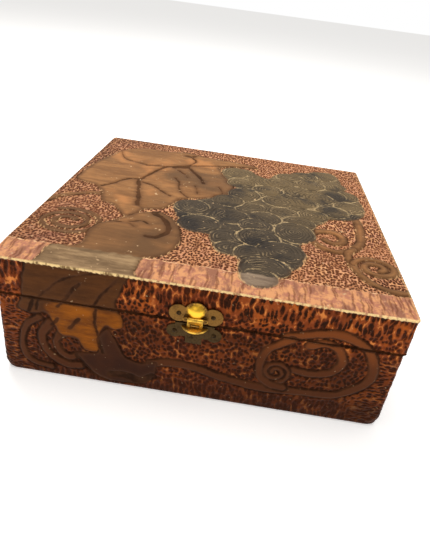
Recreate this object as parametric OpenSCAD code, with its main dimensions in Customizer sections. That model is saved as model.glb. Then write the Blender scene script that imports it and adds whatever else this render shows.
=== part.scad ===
// Burnt-work jewelry box: a shallow wooden box sawn into a base and a hinged lid,
// with two butt hinges on the back, a hasp catch on the front and a padded lining.
// Millimetres. +X is to the right seen from the front, +Y to the back, +Z up.
// The origin is the centre of the underside.

/* [Box] */
// Width of the base over its outer faces
base_w = 248; // [200:1:300]
// Depth of the base and the lid, front to back
box_d = 256; // [200:1:300]
// Height of the base, from the underside to its rim
base_h = 60; // [45:1:90]
// Height of the lid, from its rim to the flat of its top
lid_h = 26.6; // [24:0.2:45]
// Gap between the two rims when the box is shut
rim_gap = 0.4; // [0.2:0.1:0.8]
// How far the lid stands past the base at each side
lid_overhang = 1; // [0:0.5:3]

/* [Boards] */
// Thickness of the walls of the base and the rails of the lid
wall_t = 6.5; // [6:0.5:10]
// Thickness of the lid's top board
top_t = 6; // [4:0.5:9]
// Thickness of the bottom board
bottom_t = 5; // [4:0.5:8]
// Width of the rebate that the bottom board sits in
rebate_w = 3; // [2:0.5:4]
// Radius of the upright corners
corner_r = 3; // [1:0.5:5]
// Width of the break along the edges of the underside
foot_break = 2; // [0.5:0.5:3]
// Width of the break along the edges of the lid's top
top_break = 1; // [0.5:0.5:2]
// Width of the band planed down along the front of the lid's top
band_w = 22; // [10:1:40]
// Drop of that band at the front edge
band_drop = 1; // [0.5:0.5:3]

/* [Lining] */
// Thickness of the velvet boards on the base walls
lining_t = 1.5; // [1:0.5:3]
// Distance from the rim of the base down to the linings
lining_down = 3; // [1:0.5:8]
// Thickness of the cushion on the floor of the base
floor_pad_t = 7; // [4:0.5:12]
// Thickness of the cushion under the lid's top
lid_pad_t = 6; // [3:0.5:10]
// Clearance around each cushion
pad_clear = 0.6; // [0.3:0.1:2]
// Radius of the upright corners of the cushions
pad_r = 6; // [3:1:12]

/* [Hinges] */
// Distance from the middle of the box to the middle of each hinge
hinge_x = 76; // [45:1:80]
// Length of each hinge along its pin
hinge_l = 28; // [20:1:36]
// Height of each hinge leaf from the pin's axis
leaf_h = 15; // [12:0.5:18]
// Thickness of the hinge leaves
leaf_t = 0.9; // [0.6:0.1:1.4]
// Outer radius of the hinge knuckles
knuckle_r = 2; // [1.8:0.1:2.6]
// Radius of the hinge pins
hinge_pin_r = 0.9; // [0.7:0.1:1.2]
// Number of knuckles on each hinge
knuckles = 5; // [3:2:7]

/* [Catch] */
// Place of the catch across the front, from the middle
catch_x = -1.5; // [-30:0.5:30]
// Thickness of the catch's stamped plates
plate_t = 0.8; // [0.6:0.1:1.2]
// Distance between the two nails of the lid's plate
plate_nails_w = 20.6; // [19:0.2:26]
// Radius of the plate's two round ears
ear_r = 5.9; // [4:0.1:6]
// Radius of the dome at its foot
dome_r = 5.6; // [5:0.1:6]
// Height of the dome above the plate
dome_h = 2.6; // [1.5:0.1:3]
// Outer radius of the hasp's barrel
barrel_r = 1.5; // [1.3:0.1:1.8]
// Radius of the hasp's pin
hasp_pin_r = 0.7; // [0.5:0.1:0.9]
// Width of the hasp's neck
neck_w = 9.4; // [8:0.2:11]
// Thickness of the hasp
hasp_t = 0.9; // [0.7:0.1:1.2]
// Width of the thumb lip
lip_w = 16; // [13:0.5:19]
// Distance the thumb lip stands out from the hasp's back
lip_out = 5.7; // [4:0.1:7]
// Thickness of the thumb lip
lip_t = 1.1; // [0.8:0.1:1.5]
// Distance between the two nails of the keeper
keeper_nails_w = 24; // [22:0.5:28]
// Radius of the keeper's round wings
wing_r = 4.8; // [4:0.1:6]
// Width of the keeper's tongue
tongue_w = 10; // [8:0.5:12]
// Height of the keeper from the rim to the foot of its tongue
keeper_h = 14.6; // [13:0.2:18]

/* [Nails] */
// Radius of the nails' shanks
nail_r = 0.65; // [0.5:0.05:0.8]
// Radius of the nails' round heads
nail_head_r = 1.5; // [1.2:0.1:1.8]
// Height of the nails' round heads
nail_head_h = 0.7; // [0.4:0.1:1]
// Length of the nails' shanks in the wood
nail_grip = 5; // [3:0.5:5.5]
// Number of nails along each edge of the bottom board
edge_nails = 4; // [2:1:6]

/* [Hidden] */

wood = [0.45, 0.24, 0.13];
plain_wood = [0.66, 0.49, 0.31];
velvet = [0.35, 0.05, 0.08];
brass = [0.78, 0.62, 0.28];
dull_brass = [0.42, 0.35, 0.20];
nail_metal = [0.25, 0.20, 0.14];

fit_clear = 0.04;    // radial running clearance of each pin in its moving knuckles
hole_clear = 0.1;    // radial clearance of each nail in the metal it holds
end_gap = 0.25;      // gap between neighbouring knuckles, end to end
swing_gap = 0.3;     // gap between a moving knuckle and what it turns beside
pin_end = 0.4;       // how far each pin stands out of its last knuckle
over = 1;            // how far a cutter runs past the face it opens

front_y = -box_d / 2;
back_y = box_d / 2;
lid_w = base_w + 2 * lid_overhang;
lid_z = base_h + rim_gap;              // the lid's rim
top_z = lid_z + lid_h;                 // the flat of the lid's top
rail_top = top_z - top_t;              // where the top board sits on the rails
board_inset = wall_t - rebate_w;       // from an outer face to the bottom board's edge
lining_h = base_h - lining_down - bottom_t;

hinge_y = back_y + knuckle_r + swing_gap;
hinge_z = base_h + rim_gap / 2;
knuckle_l = (hinge_l - (knuckles - 1) * end_gap) / knuckles;
leaf_margin = 4;                       // from a leaf's edges to its nails
leaf_nail_z = leaf_h - leaf_margin;
leaf_nail_x = hinge_l / 2 - leaf_margin;

plate_z = lid_z + ear_r + 0.3;         // the line through the plate's two nails
dome_z = plate_z + 2;                  // the dome's centre
dome_rim = 1.2;                        // width of flat plate round the dome
pivot_out = plate_t + barrel_r + swing_gap;    // from the front face to the hasp's axis
pivot_z = plate_z - 2.4;
cheek_x = neck_w / 2 + end_gap;        // from the catch's middle to each cheek
cheek_w = 2;                           // width of each cheek that holds the hasp's pin
cheek_root = barrel_r - 0.2;           // half the height of a cheek where it meets the plate
hasp_back = plate_t + 0.5;             // from the front face to the hasp's back
nose_r = 0.5;                          // round nose at the head of the keeper
nose_w = 5;
nose_out = hasp_back + hasp_t + 0.2;
nose_z = base_h - 0.6;
nose_clear = 0.3;                      // room round the nose in the hasp's window
lip_top = nose_z - nose_r - nose_clear;
window_w = nose_w + 2 * nose_clear;
window_h = 2 * nose_r + 3 * nose_clear;
wing_z = base_h - wing_r - 1.8;        // the line through the keeper's two nails
keeper_head = base_h - 0.2;            // the keeper's top edge
web_down = 3.4;                        // from a plate's nails to the edge of the web between them
tongue_edge = 1;                       // flat edge round the raised middle of the tongue
tongue_rise = 0.6;

// Outline of a board or block with round corners, centred
module round_rect(w, d, r) {
    union() {
        square([w - 2 * r, d], center = true);
        square([w, d - 2 * r], center = true);
        for (sx = [-1, 1], sy = [-1, 1])
            translate([sx * (w / 2 - r), sy * (d / 2 - r)]) circle(r = r, $fn = 48);
    }
}

// Whole outside of the base as one block, with the edges of its underside broken
module base_block() {
    c = foot_break;
    intersection() {
        linear_extrude(height = base_h) round_rect(base_w, box_d, corner_r);
        translate([0, back_y + over, 0]) rotate([90, 0, 0]) linear_extrude(height = box_d + 2 * over)
            polygon([[-base_w / 2 + c, 0], [base_w / 2 - c, 0], [base_w / 2, c],
                     [base_w / 2, base_h], [-base_w / 2, base_h], [-base_w / 2, c]]);
        translate([-base_w / 2 - over, 0, 0]) rotate([90, 0, 90]) linear_extrude(height = base_w + 2 * over)
            polygon([[front_y + c, 0], [back_y - c, 0], [back_y, c],
                     [back_y, base_h], [front_y, base_h], [front_y, c]]);
    }
}

// Whole outside of the lid as one block, with the planed band along its front
module lid_block() {
    c = top_break;
    intersection() {
        translate([0, 0, lid_z]) linear_extrude(height = lid_h) round_rect(lid_w, box_d, corner_r);
        translate([0, back_y + over, 0]) rotate([90, 0, 0]) linear_extrude(height = box_d + 2 * over)
            polygon([[-lid_w / 2, lid_z], [lid_w / 2, lid_z], [lid_w / 2, top_z - c],
                     [lid_w / 2 - c, top_z], [-lid_w / 2 + c, top_z], [-lid_w / 2, top_z - c]]);
        translate([-lid_w / 2 - over, 0, 0]) rotate([90, 0, 90]) linear_extrude(height = lid_w + 2 * over)
            polygon([[front_y, lid_z], [back_y, lid_z], [back_y, top_z - c], [back_y - c, top_z],
                     [front_y + band_w, top_z], [front_y + c, top_z - band_drop],
                     [front_y, top_z - band_drop - c]]);
    }
}

// Box between two corners
module span(low, high) {
    translate(low) cube(high - low);
}

module bottom_board_space() {
    span([-base_w / 2 + board_inset, front_y + board_inset, -over],
         [base_w / 2 - board_inset, back_y - board_inset, bottom_t]);
}

module base_bottom_board() {
    color(plain_wood) difference() {
        span([-base_w / 2 + board_inset, front_y + board_inset, 0],
             [base_w / 2 - board_inset, back_y - board_inset, bottom_t]);
        bottom_nail_places() translate([0, 0, -over]) cylinder(h = bottom_t + 2 * over, r = nail_r, $fn = 24);
    }
}

// A wall of the base that fills the span between two corners
module base_wall(low, high) {
    color(wood) difference() {
        intersection() {
            base_block();
            span(low, high);
        }
        bottom_board_space();
    }
}

module base_front_wall() base_wall([-base_w / 2, front_y, 0], [base_w / 2, front_y + wall_t, base_h]);
module base_back_wall() base_wall([-base_w / 2, back_y - wall_t, 0], [base_w / 2, back_y, base_h]);
module base_left_wall()
    base_wall([-base_w / 2, front_y + wall_t, 0], [-base_w / 2 + wall_t, back_y - wall_t, base_h]);
module base_right_wall()
    base_wall([base_w / 2 - wall_t, front_y + wall_t, 0], [base_w / 2, back_y - wall_t, base_h]);

// A rail of the lid that fills the span between two corners
module lid_rail(low, high) {
    color(wood) intersection() {
        lid_block();
        span(low, high);
    }
}

module lid_front_rail() lid_rail([-lid_w / 2, front_y, lid_z], [lid_w / 2, front_y + wall_t, rail_top]);
module lid_back_rail() lid_rail([-lid_w / 2, back_y - wall_t, lid_z], [lid_w / 2, back_y, rail_top]);
module lid_left_rail()
    lid_rail([-lid_w / 2, front_y + wall_t, lid_z], [-lid_w / 2 + wall_t, back_y - wall_t, rail_top]);
module lid_right_rail()
    lid_rail([lid_w / 2 - wall_t, front_y + wall_t, lid_z], [lid_w / 2, back_y - wall_t, rail_top]);
module lid_top_board() lid_rail([-lid_w / 2, front_y, rail_top], [lid_w / 2, back_y, top_z]);

// Places of the nails along the four edges of the bottom board
module bottom_nail_places() {
    line = wall_t - rebate_w / 2;      // from an outer face to the row of nails
    nx = base_w / 2 - line;
    ny = box_d / 2 - line;
    for (i = [0 : edge_nails - 1], s = [-1, 1]) {
        t = (2 * i + 1) / edge_nails - 1;
        translate([s * nx, t * ny, 0]) children();
        translate([t * nx, s * ny, 0]) children();
    }
}

module bottom_nails() {
    color(nail_metal) bottom_nail_places()
        cylinder(h = bottom_t + 2 * nail_grip, r = nail_r, $fn = 24);
}

module floor_cushion() {
    w = base_w - 2 * (wall_t + lining_t + pad_clear);
    d = box_d - 2 * (wall_t + lining_t + pad_clear);
    color(velvet) translate([0, 0, bottom_t]) linear_extrude(height = floor_pad_t) round_rect(w, d, pad_r);
}

module lid_cushion() {
    w = lid_w - 2 * (wall_t + pad_clear);
    d = box_d - 2 * (wall_t + pad_clear);
    color(velvet) translate([0, 0, rail_top - lid_pad_t]) linear_extrude(height = lid_pad_t) round_rect(w, d, pad_r);
}

// Velvet board on the front or back wall, side = -1 front, 1 back
module cross_lining(side) {
    inner = box_d / 2 - wall_t;
    color(velvet) translate([-base_w / 2 + wall_t, side > 0 ? inner - lining_t : -inner, bottom_t])
        cube([base_w - 2 * wall_t, lining_t, lining_h]);
}

// Velvet board on the left or right wall, side = -1 left, 1 right
module side_lining(side) {
    inner = base_w / 2 - wall_t;
    color(velvet) translate([side > 0 ? inner - lining_t : -inner, front_y + wall_t + lining_t, bottom_t])
        cube([lining_t, box_d - 2 * (wall_t + lining_t), lining_h]);
}

// Plate of a hinge leaf lying on the back face: up = 1 for the lid's leaf, -1 for the base's
module leaf_plate(up) {
    from_axis = knuckle_r + swing_gap;
    difference() {
        translate([-hinge_l / 2, back_y - hinge_y, up > 0 ? from_axis : -leaf_h])
            cube([hinge_l, leaf_t, leaf_h - from_axis]);
        for (x = [-leaf_nail_x, 0, leaf_nail_x])
            translate([x, back_y - hinge_y - over, up * leaf_nail_z]) rotate([-90, 0, 0])
                cylinder(h = leaf_t + 2 * over, r = nail_r + hole_clear, $fn = 24);
    }
}

// One hinge leaf with its knuckles: the base's leaf holds the outer knuckles
module hinge_leaf(up) {
    pitch = knuckle_l + end_gap;
    first = up > 0 ? 1 : 0;
    bore = up > 0 ? hinge_pin_r + fit_clear : hinge_pin_r;
    color(brass) translate([0, hinge_y, hinge_z]) {
        difference() {
            union() {
                leaf_plate(up);
                for (k = [first : 2 : knuckles - 1])
                    translate([-hinge_l / 2 + k * pitch, 0, 0]) {
                        rotate([0, 90, 0]) cylinder(h = knuckle_l, r = knuckle_r, $fn = 48);
                        translate([0, back_y - hinge_y, up > 0 ? 0 : -knuckle_r - swing_gap])
                            cube([knuckle_l, leaf_t, knuckle_r + swing_gap]);
                    }
            }
            translate([-hinge_l / 2 - over, 0, 0]) rotate([0, 90, 0])
                cylinder(h = hinge_l + 2 * over, r = bore, $fn = 48);
        }
    }
}

module hinge_pin() {
    color(brass) translate([-hinge_l / 2 - pin_end, hinge_y, hinge_z]) rotate([0, 90, 0])
        cylinder(h = hinge_l + 2 * pin_end, r = hinge_pin_r, $fn = 48);
}

// Round-headed nail that points along +Y, with the underside of its head at the origin
module nail() {
    rotate([-90, 0, 0]) {
        cylinder(h = plate_t + nail_grip, r = nail_r, $fn = 24);
        ball = (nail_head_r * nail_head_r + nail_head_h * nail_head_h) / (2 * nail_head_h);
        intersection() {
            translate([0, 0, ball - nail_head_h]) sphere(r = ball, $fn = 48);
            translate([0, 0, -nail_head_h]) cylinder(h = nail_head_h, r = nail_head_r, $fn = 48);
        }
    }
}

module leaf_nails(up) {
    color(nail_metal) for (s = [-1, 1], x = [-leaf_nail_x, 0, leaf_nail_x])
        translate([s * hinge_x + x, back_y + leaf_t, hinge_z + up * leaf_nail_z]) rotate([0, 0, 180]) nail();
}

// Turns what is drawn in the plane of the front face, x across and y up, to stand on it
module on_front(thickness) {
    translate([catch_x, front_y, 0]) rotate([90, 0, 0]) linear_extrude(height = thickness) children();
}

module pair_of_nails(spacing, z) {
    color(nail_metal) for (s = [-1, 1])
        translate([catch_x + s * spacing / 2, front_y - plate_t, z]) nail();
}

module catch_plate() {
    ball = (dome_r * dome_r + dome_h * dome_h) / (2 * dome_h);
    color(brass) difference() {
        union() {
            on_front(plate_t) difference() {
                union() {
                    for (s = [-1, 1]) translate([s * plate_nails_w / 2, plate_z]) circle(r = ear_r, $fn = 48);
                    translate([0, dome_z]) circle(r = dome_r + dome_rim, $fn = 48);
                    translate([-plate_nails_w / 2, plate_z - web_down]) square([plate_nails_w, 2 * web_down]);
                }
                for (s = [-1, 1])
                    translate([s * plate_nails_w / 2, plate_z]) circle(r = nail_r + hole_clear, $fn = 24);
            }
            // dome, cut off flat just above the hasp's barrel
            intersection() {
                translate([catch_x, front_y - plate_t - dome_h + ball, dome_z]) sphere(r = ball, $fn = 64);
                span([catch_x - dome_r - over, front_y - plate_t - dome_h - over, pivot_z + barrel_r + swing_gap],
                     [catch_x + dome_r + over, front_y - plate_t / 2, dome_z + dome_r + over]);
            }
            // two cheeks that hold the hasp's pin
            for (s = [-1, 1])
                translate([catch_x + s * (cheek_x + cheek_w / 2), front_y, pivot_z]) {
                    rotate([0, 90, 0]) translate([0, -pivot_out, -cheek_w / 2])
                        cylinder(h = cheek_w, r = barrel_r, $fn = 48);
                    translate([-cheek_w / 2, -pivot_out, -cheek_root])
                        cube([cheek_w, pivot_out - plate_t / 2, 2 * cheek_root]);
                }
        }
        translate([catch_x - cheek_x - cheek_w - over, front_y - pivot_out, pivot_z]) rotate([0, 90, 0])
            cylinder(h = 2 * (cheek_x + cheek_w + over), r = hasp_pin_r, $fn = 48);
    }
}

module catch_hasp_pin() {
    half = cheek_x + cheek_w + pin_end;
    color(brass) translate([catch_x - half, front_y - pivot_out, pivot_z]) rotate([0, 90, 0])
        cylinder(h = 2 * half, r = hasp_pin_r, $fn = 48);
}

module catch_hasp() {
    arc_r = (lip_w * lip_w / 4 + lip_out * lip_out) / (2 * lip_out);
    color(brass) difference() {
        union() {
            translate([catch_x - neck_w / 2, front_y - pivot_out, pivot_z]) rotate([0, 90, 0])
                cylinder(h = neck_w, r = barrel_r, $fn = 48);
            span([catch_x - neck_w / 2, front_y - hasp_back - hasp_t, lip_top - lip_t],
                 [catch_x + neck_w / 2, front_y - hasp_back, pivot_z]);
            // half-moon lip
            translate([catch_x, front_y - hasp_back, lip_top - lip_t]) linear_extrude(height = lip_t)
                intersection() {
                    translate([0, arc_r - lip_out]) circle(r = arc_r, $fn = 64);
                    translate([-lip_w / 2, -lip_out]) square([lip_w, lip_out]);
                }
        }
        translate([catch_x - neck_w / 2 - over, front_y - pivot_out, pivot_z]) rotate([0, 90, 0])
            cylinder(h = neck_w + 2 * over, r = hasp_pin_r + fit_clear, $fn = 48);
        span([catch_x - window_w / 2, front_y - hasp_back - hasp_t - over, lip_top],
             [catch_x + window_w / 2, front_y - hasp_back + over, lip_top + window_h]);
    }
}

module catch_keeper() {
    foot_z = base_h - keeper_h;
    ridge_w = tongue_w - 2 * tongue_edge;
    ridge_h = wing_z - foot_z;
    ridge_r = (ridge_w * ridge_w / 4 + tongue_rise * tongue_rise) / (2 * tongue_rise);
    color(dull_brass) {
        on_front(plate_t) difference() {
            union() {
                for (s = [-1, 1]) translate([s * keeper_nails_w / 2, wing_z]) circle(r = wing_r, $fn = 48);
                translate([-keeper_nails_w / 2, wing_z - web_down])
                    square([keeper_nails_w, keeper_head - wing_z + web_down]);
                translate([-tongue_w / 2, foot_z]) square([tongue_w, wing_z - foot_z]);
            }
            for (s = [-1, 1])
                translate([s * keeper_nails_w / 2, wing_z]) circle(r = nail_r + hole_clear, $fn = 24);
        }
        // raised middle of the tongue
        translate([catch_x, front_y - plate_t, foot_z + tongue_edge]) intersection() {
            translate([0, ridge_r - tongue_rise, 0]) cylinder(h = ridge_h, r = ridge_r, $fn = 96);
            translate([-ridge_w / 2, -tongue_rise, 0]) cube([ridge_w, tongue_rise + plate_t / 2, ridge_h]);
        }
        // nose that the hasp's window drops over
        translate([catch_x - nose_w / 2, front_y - nose_out + nose_r, nose_z]) {
            rotate([0, 90, 0]) cylinder(h = nose_w, r = nose_r, $fn = 32);
            translate([0, 0, -nose_r]) cube([nose_w, nose_out - nose_r - plate_t / 2, 2 * nose_r]);
        }
    }
}

base_bottom_board();
base_front_wall();
base_back_wall();
base_left_wall();
base_right_wall();
bottom_nails();
floor_cushion();
cross_lining(-1);  // front_lining
cross_lining(1);  // back_lining
side_lining(-1);  // left_lining
side_lining(1);  // right_lining
lid_top_board();
lid_front_rail();
lid_back_rail();
lid_left_rail();
lid_right_rail();
lid_cushion();
translate([-hinge_x, 0, 0]) hinge_leaf(-1);  // left_hinge_base_leaf
translate([-hinge_x, 0, 0]) hinge_leaf(1);  // left_hinge_lid_leaf
translate([-hinge_x, 0, 0]) hinge_pin();  // left_hinge_pin
translate([hinge_x, 0, 0]) hinge_leaf(-1);  // right_hinge_base_leaf
translate([hinge_x, 0, 0]) hinge_leaf(1);  // right_hinge_lid_leaf
translate([hinge_x, 0, 0]) hinge_pin();  // right_hinge_pin
leaf_nails(-1);  // hinge_base_nails
leaf_nails(1);  // hinge_lid_nails
catch_plate();
pair_of_nails(plate_nails_w, plate_z);  // catch_plate_nails
catch_hasp();
catch_hasp_pin();
catch_keeper();
pair_of_nails(keeper_nails_w, wing_z);  // keeper_nails
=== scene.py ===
import math
import bmesh
import bpy
import numpy as np
from mathutils import Matrix, Vector


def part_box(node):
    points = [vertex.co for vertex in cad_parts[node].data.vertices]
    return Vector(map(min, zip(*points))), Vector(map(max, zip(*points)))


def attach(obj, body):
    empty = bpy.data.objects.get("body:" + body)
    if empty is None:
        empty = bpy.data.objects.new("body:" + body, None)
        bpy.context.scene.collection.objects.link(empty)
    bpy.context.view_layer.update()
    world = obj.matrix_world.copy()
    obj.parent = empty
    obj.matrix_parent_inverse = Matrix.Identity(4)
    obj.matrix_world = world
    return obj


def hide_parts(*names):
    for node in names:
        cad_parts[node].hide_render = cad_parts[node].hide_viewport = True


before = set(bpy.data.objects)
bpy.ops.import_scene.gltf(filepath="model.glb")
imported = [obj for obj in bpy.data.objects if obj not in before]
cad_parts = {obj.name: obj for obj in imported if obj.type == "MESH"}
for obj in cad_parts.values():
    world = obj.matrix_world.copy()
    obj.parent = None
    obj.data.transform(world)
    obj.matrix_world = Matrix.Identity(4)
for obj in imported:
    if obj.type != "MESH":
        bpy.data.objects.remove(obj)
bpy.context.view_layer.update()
mm = 0.001


def boxOf(node):  # a node's lowest and highest corner in millimetres
    low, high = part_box(node)
    return np.array(low) / mm, np.array(high) / mm


def newPiece(name, verts, edges=(), faces=(), finish=None):  # a mesh from places in metres
    mesh = bpy.data.meshes.new(name)
    mesh.from_pydata(verts, edges, faces)
    if finish:
        mesh.materials.append(finish)
    piece = bpy.data.objects.new(name, mesh)
    bpy.context.scene.collection.objects.link(piece)
    return piece


def settled(piece):  # turns a piece's modifiers into plain mesh
    bpy.context.view_layer.update()
    graph = bpy.context.evaluated_depsgraph_get()
    mesh = bpy.data.meshes.new_from_object(piece.evaluated_get(graph))
    piece.modifiers.clear()
    old = piece.data
    piece.data = mesh
    bpy.data.meshes.remove(old)


def smoothed(piece, crease):  # smooth shading, with edges sharper than the crease kept
    piece.data.shade_smooth()
    piece.data.set_sharp_from_angle(angle=math.radians(crease))


def subdivided(piece):
    smooth = piece.modifiers.new("smooth", "SUBSURF")
    smooth.levels = smooth.render_levels = 1
    settled(piece)
    piece.data.shade_smooth()


def ease(low, high, v):  # 0 at low, 1 at high, soft at both ends
    t = np.clip((v - low) / (high - low), 0, 1)
    return t * t * (3 - 2 * t)


def blend(a, b, t):
    return a + (b - a) * t


def scatter(i, j, seed):  # the same random number for the same place, 0 to 1
    n = (i.astype(np.int64) * 374761393 + j.astype(np.int64) * 668265263 + seed * 69069) & 0xFFFFFFFF
    n = ((n ^ (n >> 13)) * 1274126177) & 0xFFFFFFFF
    return ((n ^ (n >> 16)) & 0xFFFFFF) / 0x1000000


def drift(x, y, size, seed):  # soft unevenness, -1 to 1
    gx, gy = x / size, y / size
    ix, iy = np.floor(gx), np.floor(gy)
    fx, fy = ease(0, 1, gx - ix), ease(0, 1, gy - iy)
    low = blend(scatter(ix, iy, seed), scatter(ix + 1, iy, seed), fx)
    high = blend(scatter(ix, iy + 1, seed), scatter(ix + 1, iy + 1, seed), fx)
    return 2 * blend(low, high, fy) - 1


def dabs(x, y, wide, tall, seed, wander=0.75):  # distance to the nearest dab, about 0 to 1
    gx, gy = x / wide, y / tall
    gy = gy + 0.5 * (np.floor(gx) % 2)
    ix, iy = np.floor(gx), np.floor(gy)
    best = np.full(x.shape, 9.0)
    for dx in (-1, 0, 1):
        for dy in (-1, 0, 1):
            cx, cy = ix + dx, iy + dy
            px = cx + 0.5 + (scatter(cx, cy, seed) - 0.5) * wander
            py = cy + 0.5 + (scatter(cx, cy, seed + 7) - 0.5) * wander
            size = 0.8 + 0.45 * scatter(cx, cy, seed + 19)
            best = np.minimum(best, np.hypot(gx - px, gy - py) / size)
    return best


def flow(points, closed=False, steps=6):  # a smooth line through points
    p = np.array(points, float)
    if closed:
        p = np.vstack([p[-1:], p, p[:2]])
    else:
        p = np.vstack([2 * p[:1] - p[1:2], p, 2 * p[-1:] - p[-2:-1]])
    t = np.linspace(0, 1, steps, endpoint=False)[:, None]
    out = []
    for a, b, c, d in zip(p[:-3], p[1:-2], p[2:-1], p[3:]):
        out.append(0.5 * (2 * b + (c - a) * t + (2 * a - 5 * b + 4 * c - d) * t ** 2
                          + (3 * b - a - 3 * c + d) * t ** 3))
    out.append(p[-2:-1])
    return np.vstack(out)


def coil(centre, outer, inner, turns, start, squash=1.0):  # a spiral; negative turns run clockwise
    t = np.linspace(0, 1, int(26 * abs(turns)))
    angle = math.radians(start) + 2 * math.pi * turns * t
    r = blend(outer, inner, t)
    return np.stack([centre[0] + r * np.cos(angle), centre[1] + squash * r * np.sin(angle)], 1)


def reach(x, y, path):  # distance to a line
    best = np.full(x.shape, 1e9)
    for (ax, ay), (bx, by) in zip(path[:-1], path[1:]):
        dx, dy = bx - ax, by - ay
        t = np.clip(((x - ax) * dx + (y - ay) * dy) / (dx * dx + dy * dy + 1e-9), 0, 1)
        best = np.minimum(best, (x - ax - t * dx) ** 2 + (y - ay - t * dy) ** 2)
    return np.sqrt(best)


def patch(x, y, points):  # distance to a rounded shape, negative inside it
    path = flow(points, closed=True)
    odd = np.zeros(x.shape, bool)
    for (ax, ay), (bx, by) in zip(path[:-1], path[1:]):
        if ay != by:
            odd ^= ((ay > y) != (by > y)) & (x < (bx - ax) * (y - ay) / (by - ay) + ax)
    away = reach(x, y, path)
    return np.where(odd, -away, away)


carving = {              # millimetres
    "lineHalf": 0.45,    # half width of the burnt outlines
    "raised": 0.22,      # how deep the leaves and tendrils lie
    "hump": 0.18,        # how far their middles rise again
    "ground": 0.4,
    "pits": 0.28,
    "line": 0.28,        # burnt outlines and veins
    "grapeLine": 0.16,
}

# what is drawn on the box, millimetres from the middle of each face

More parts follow.
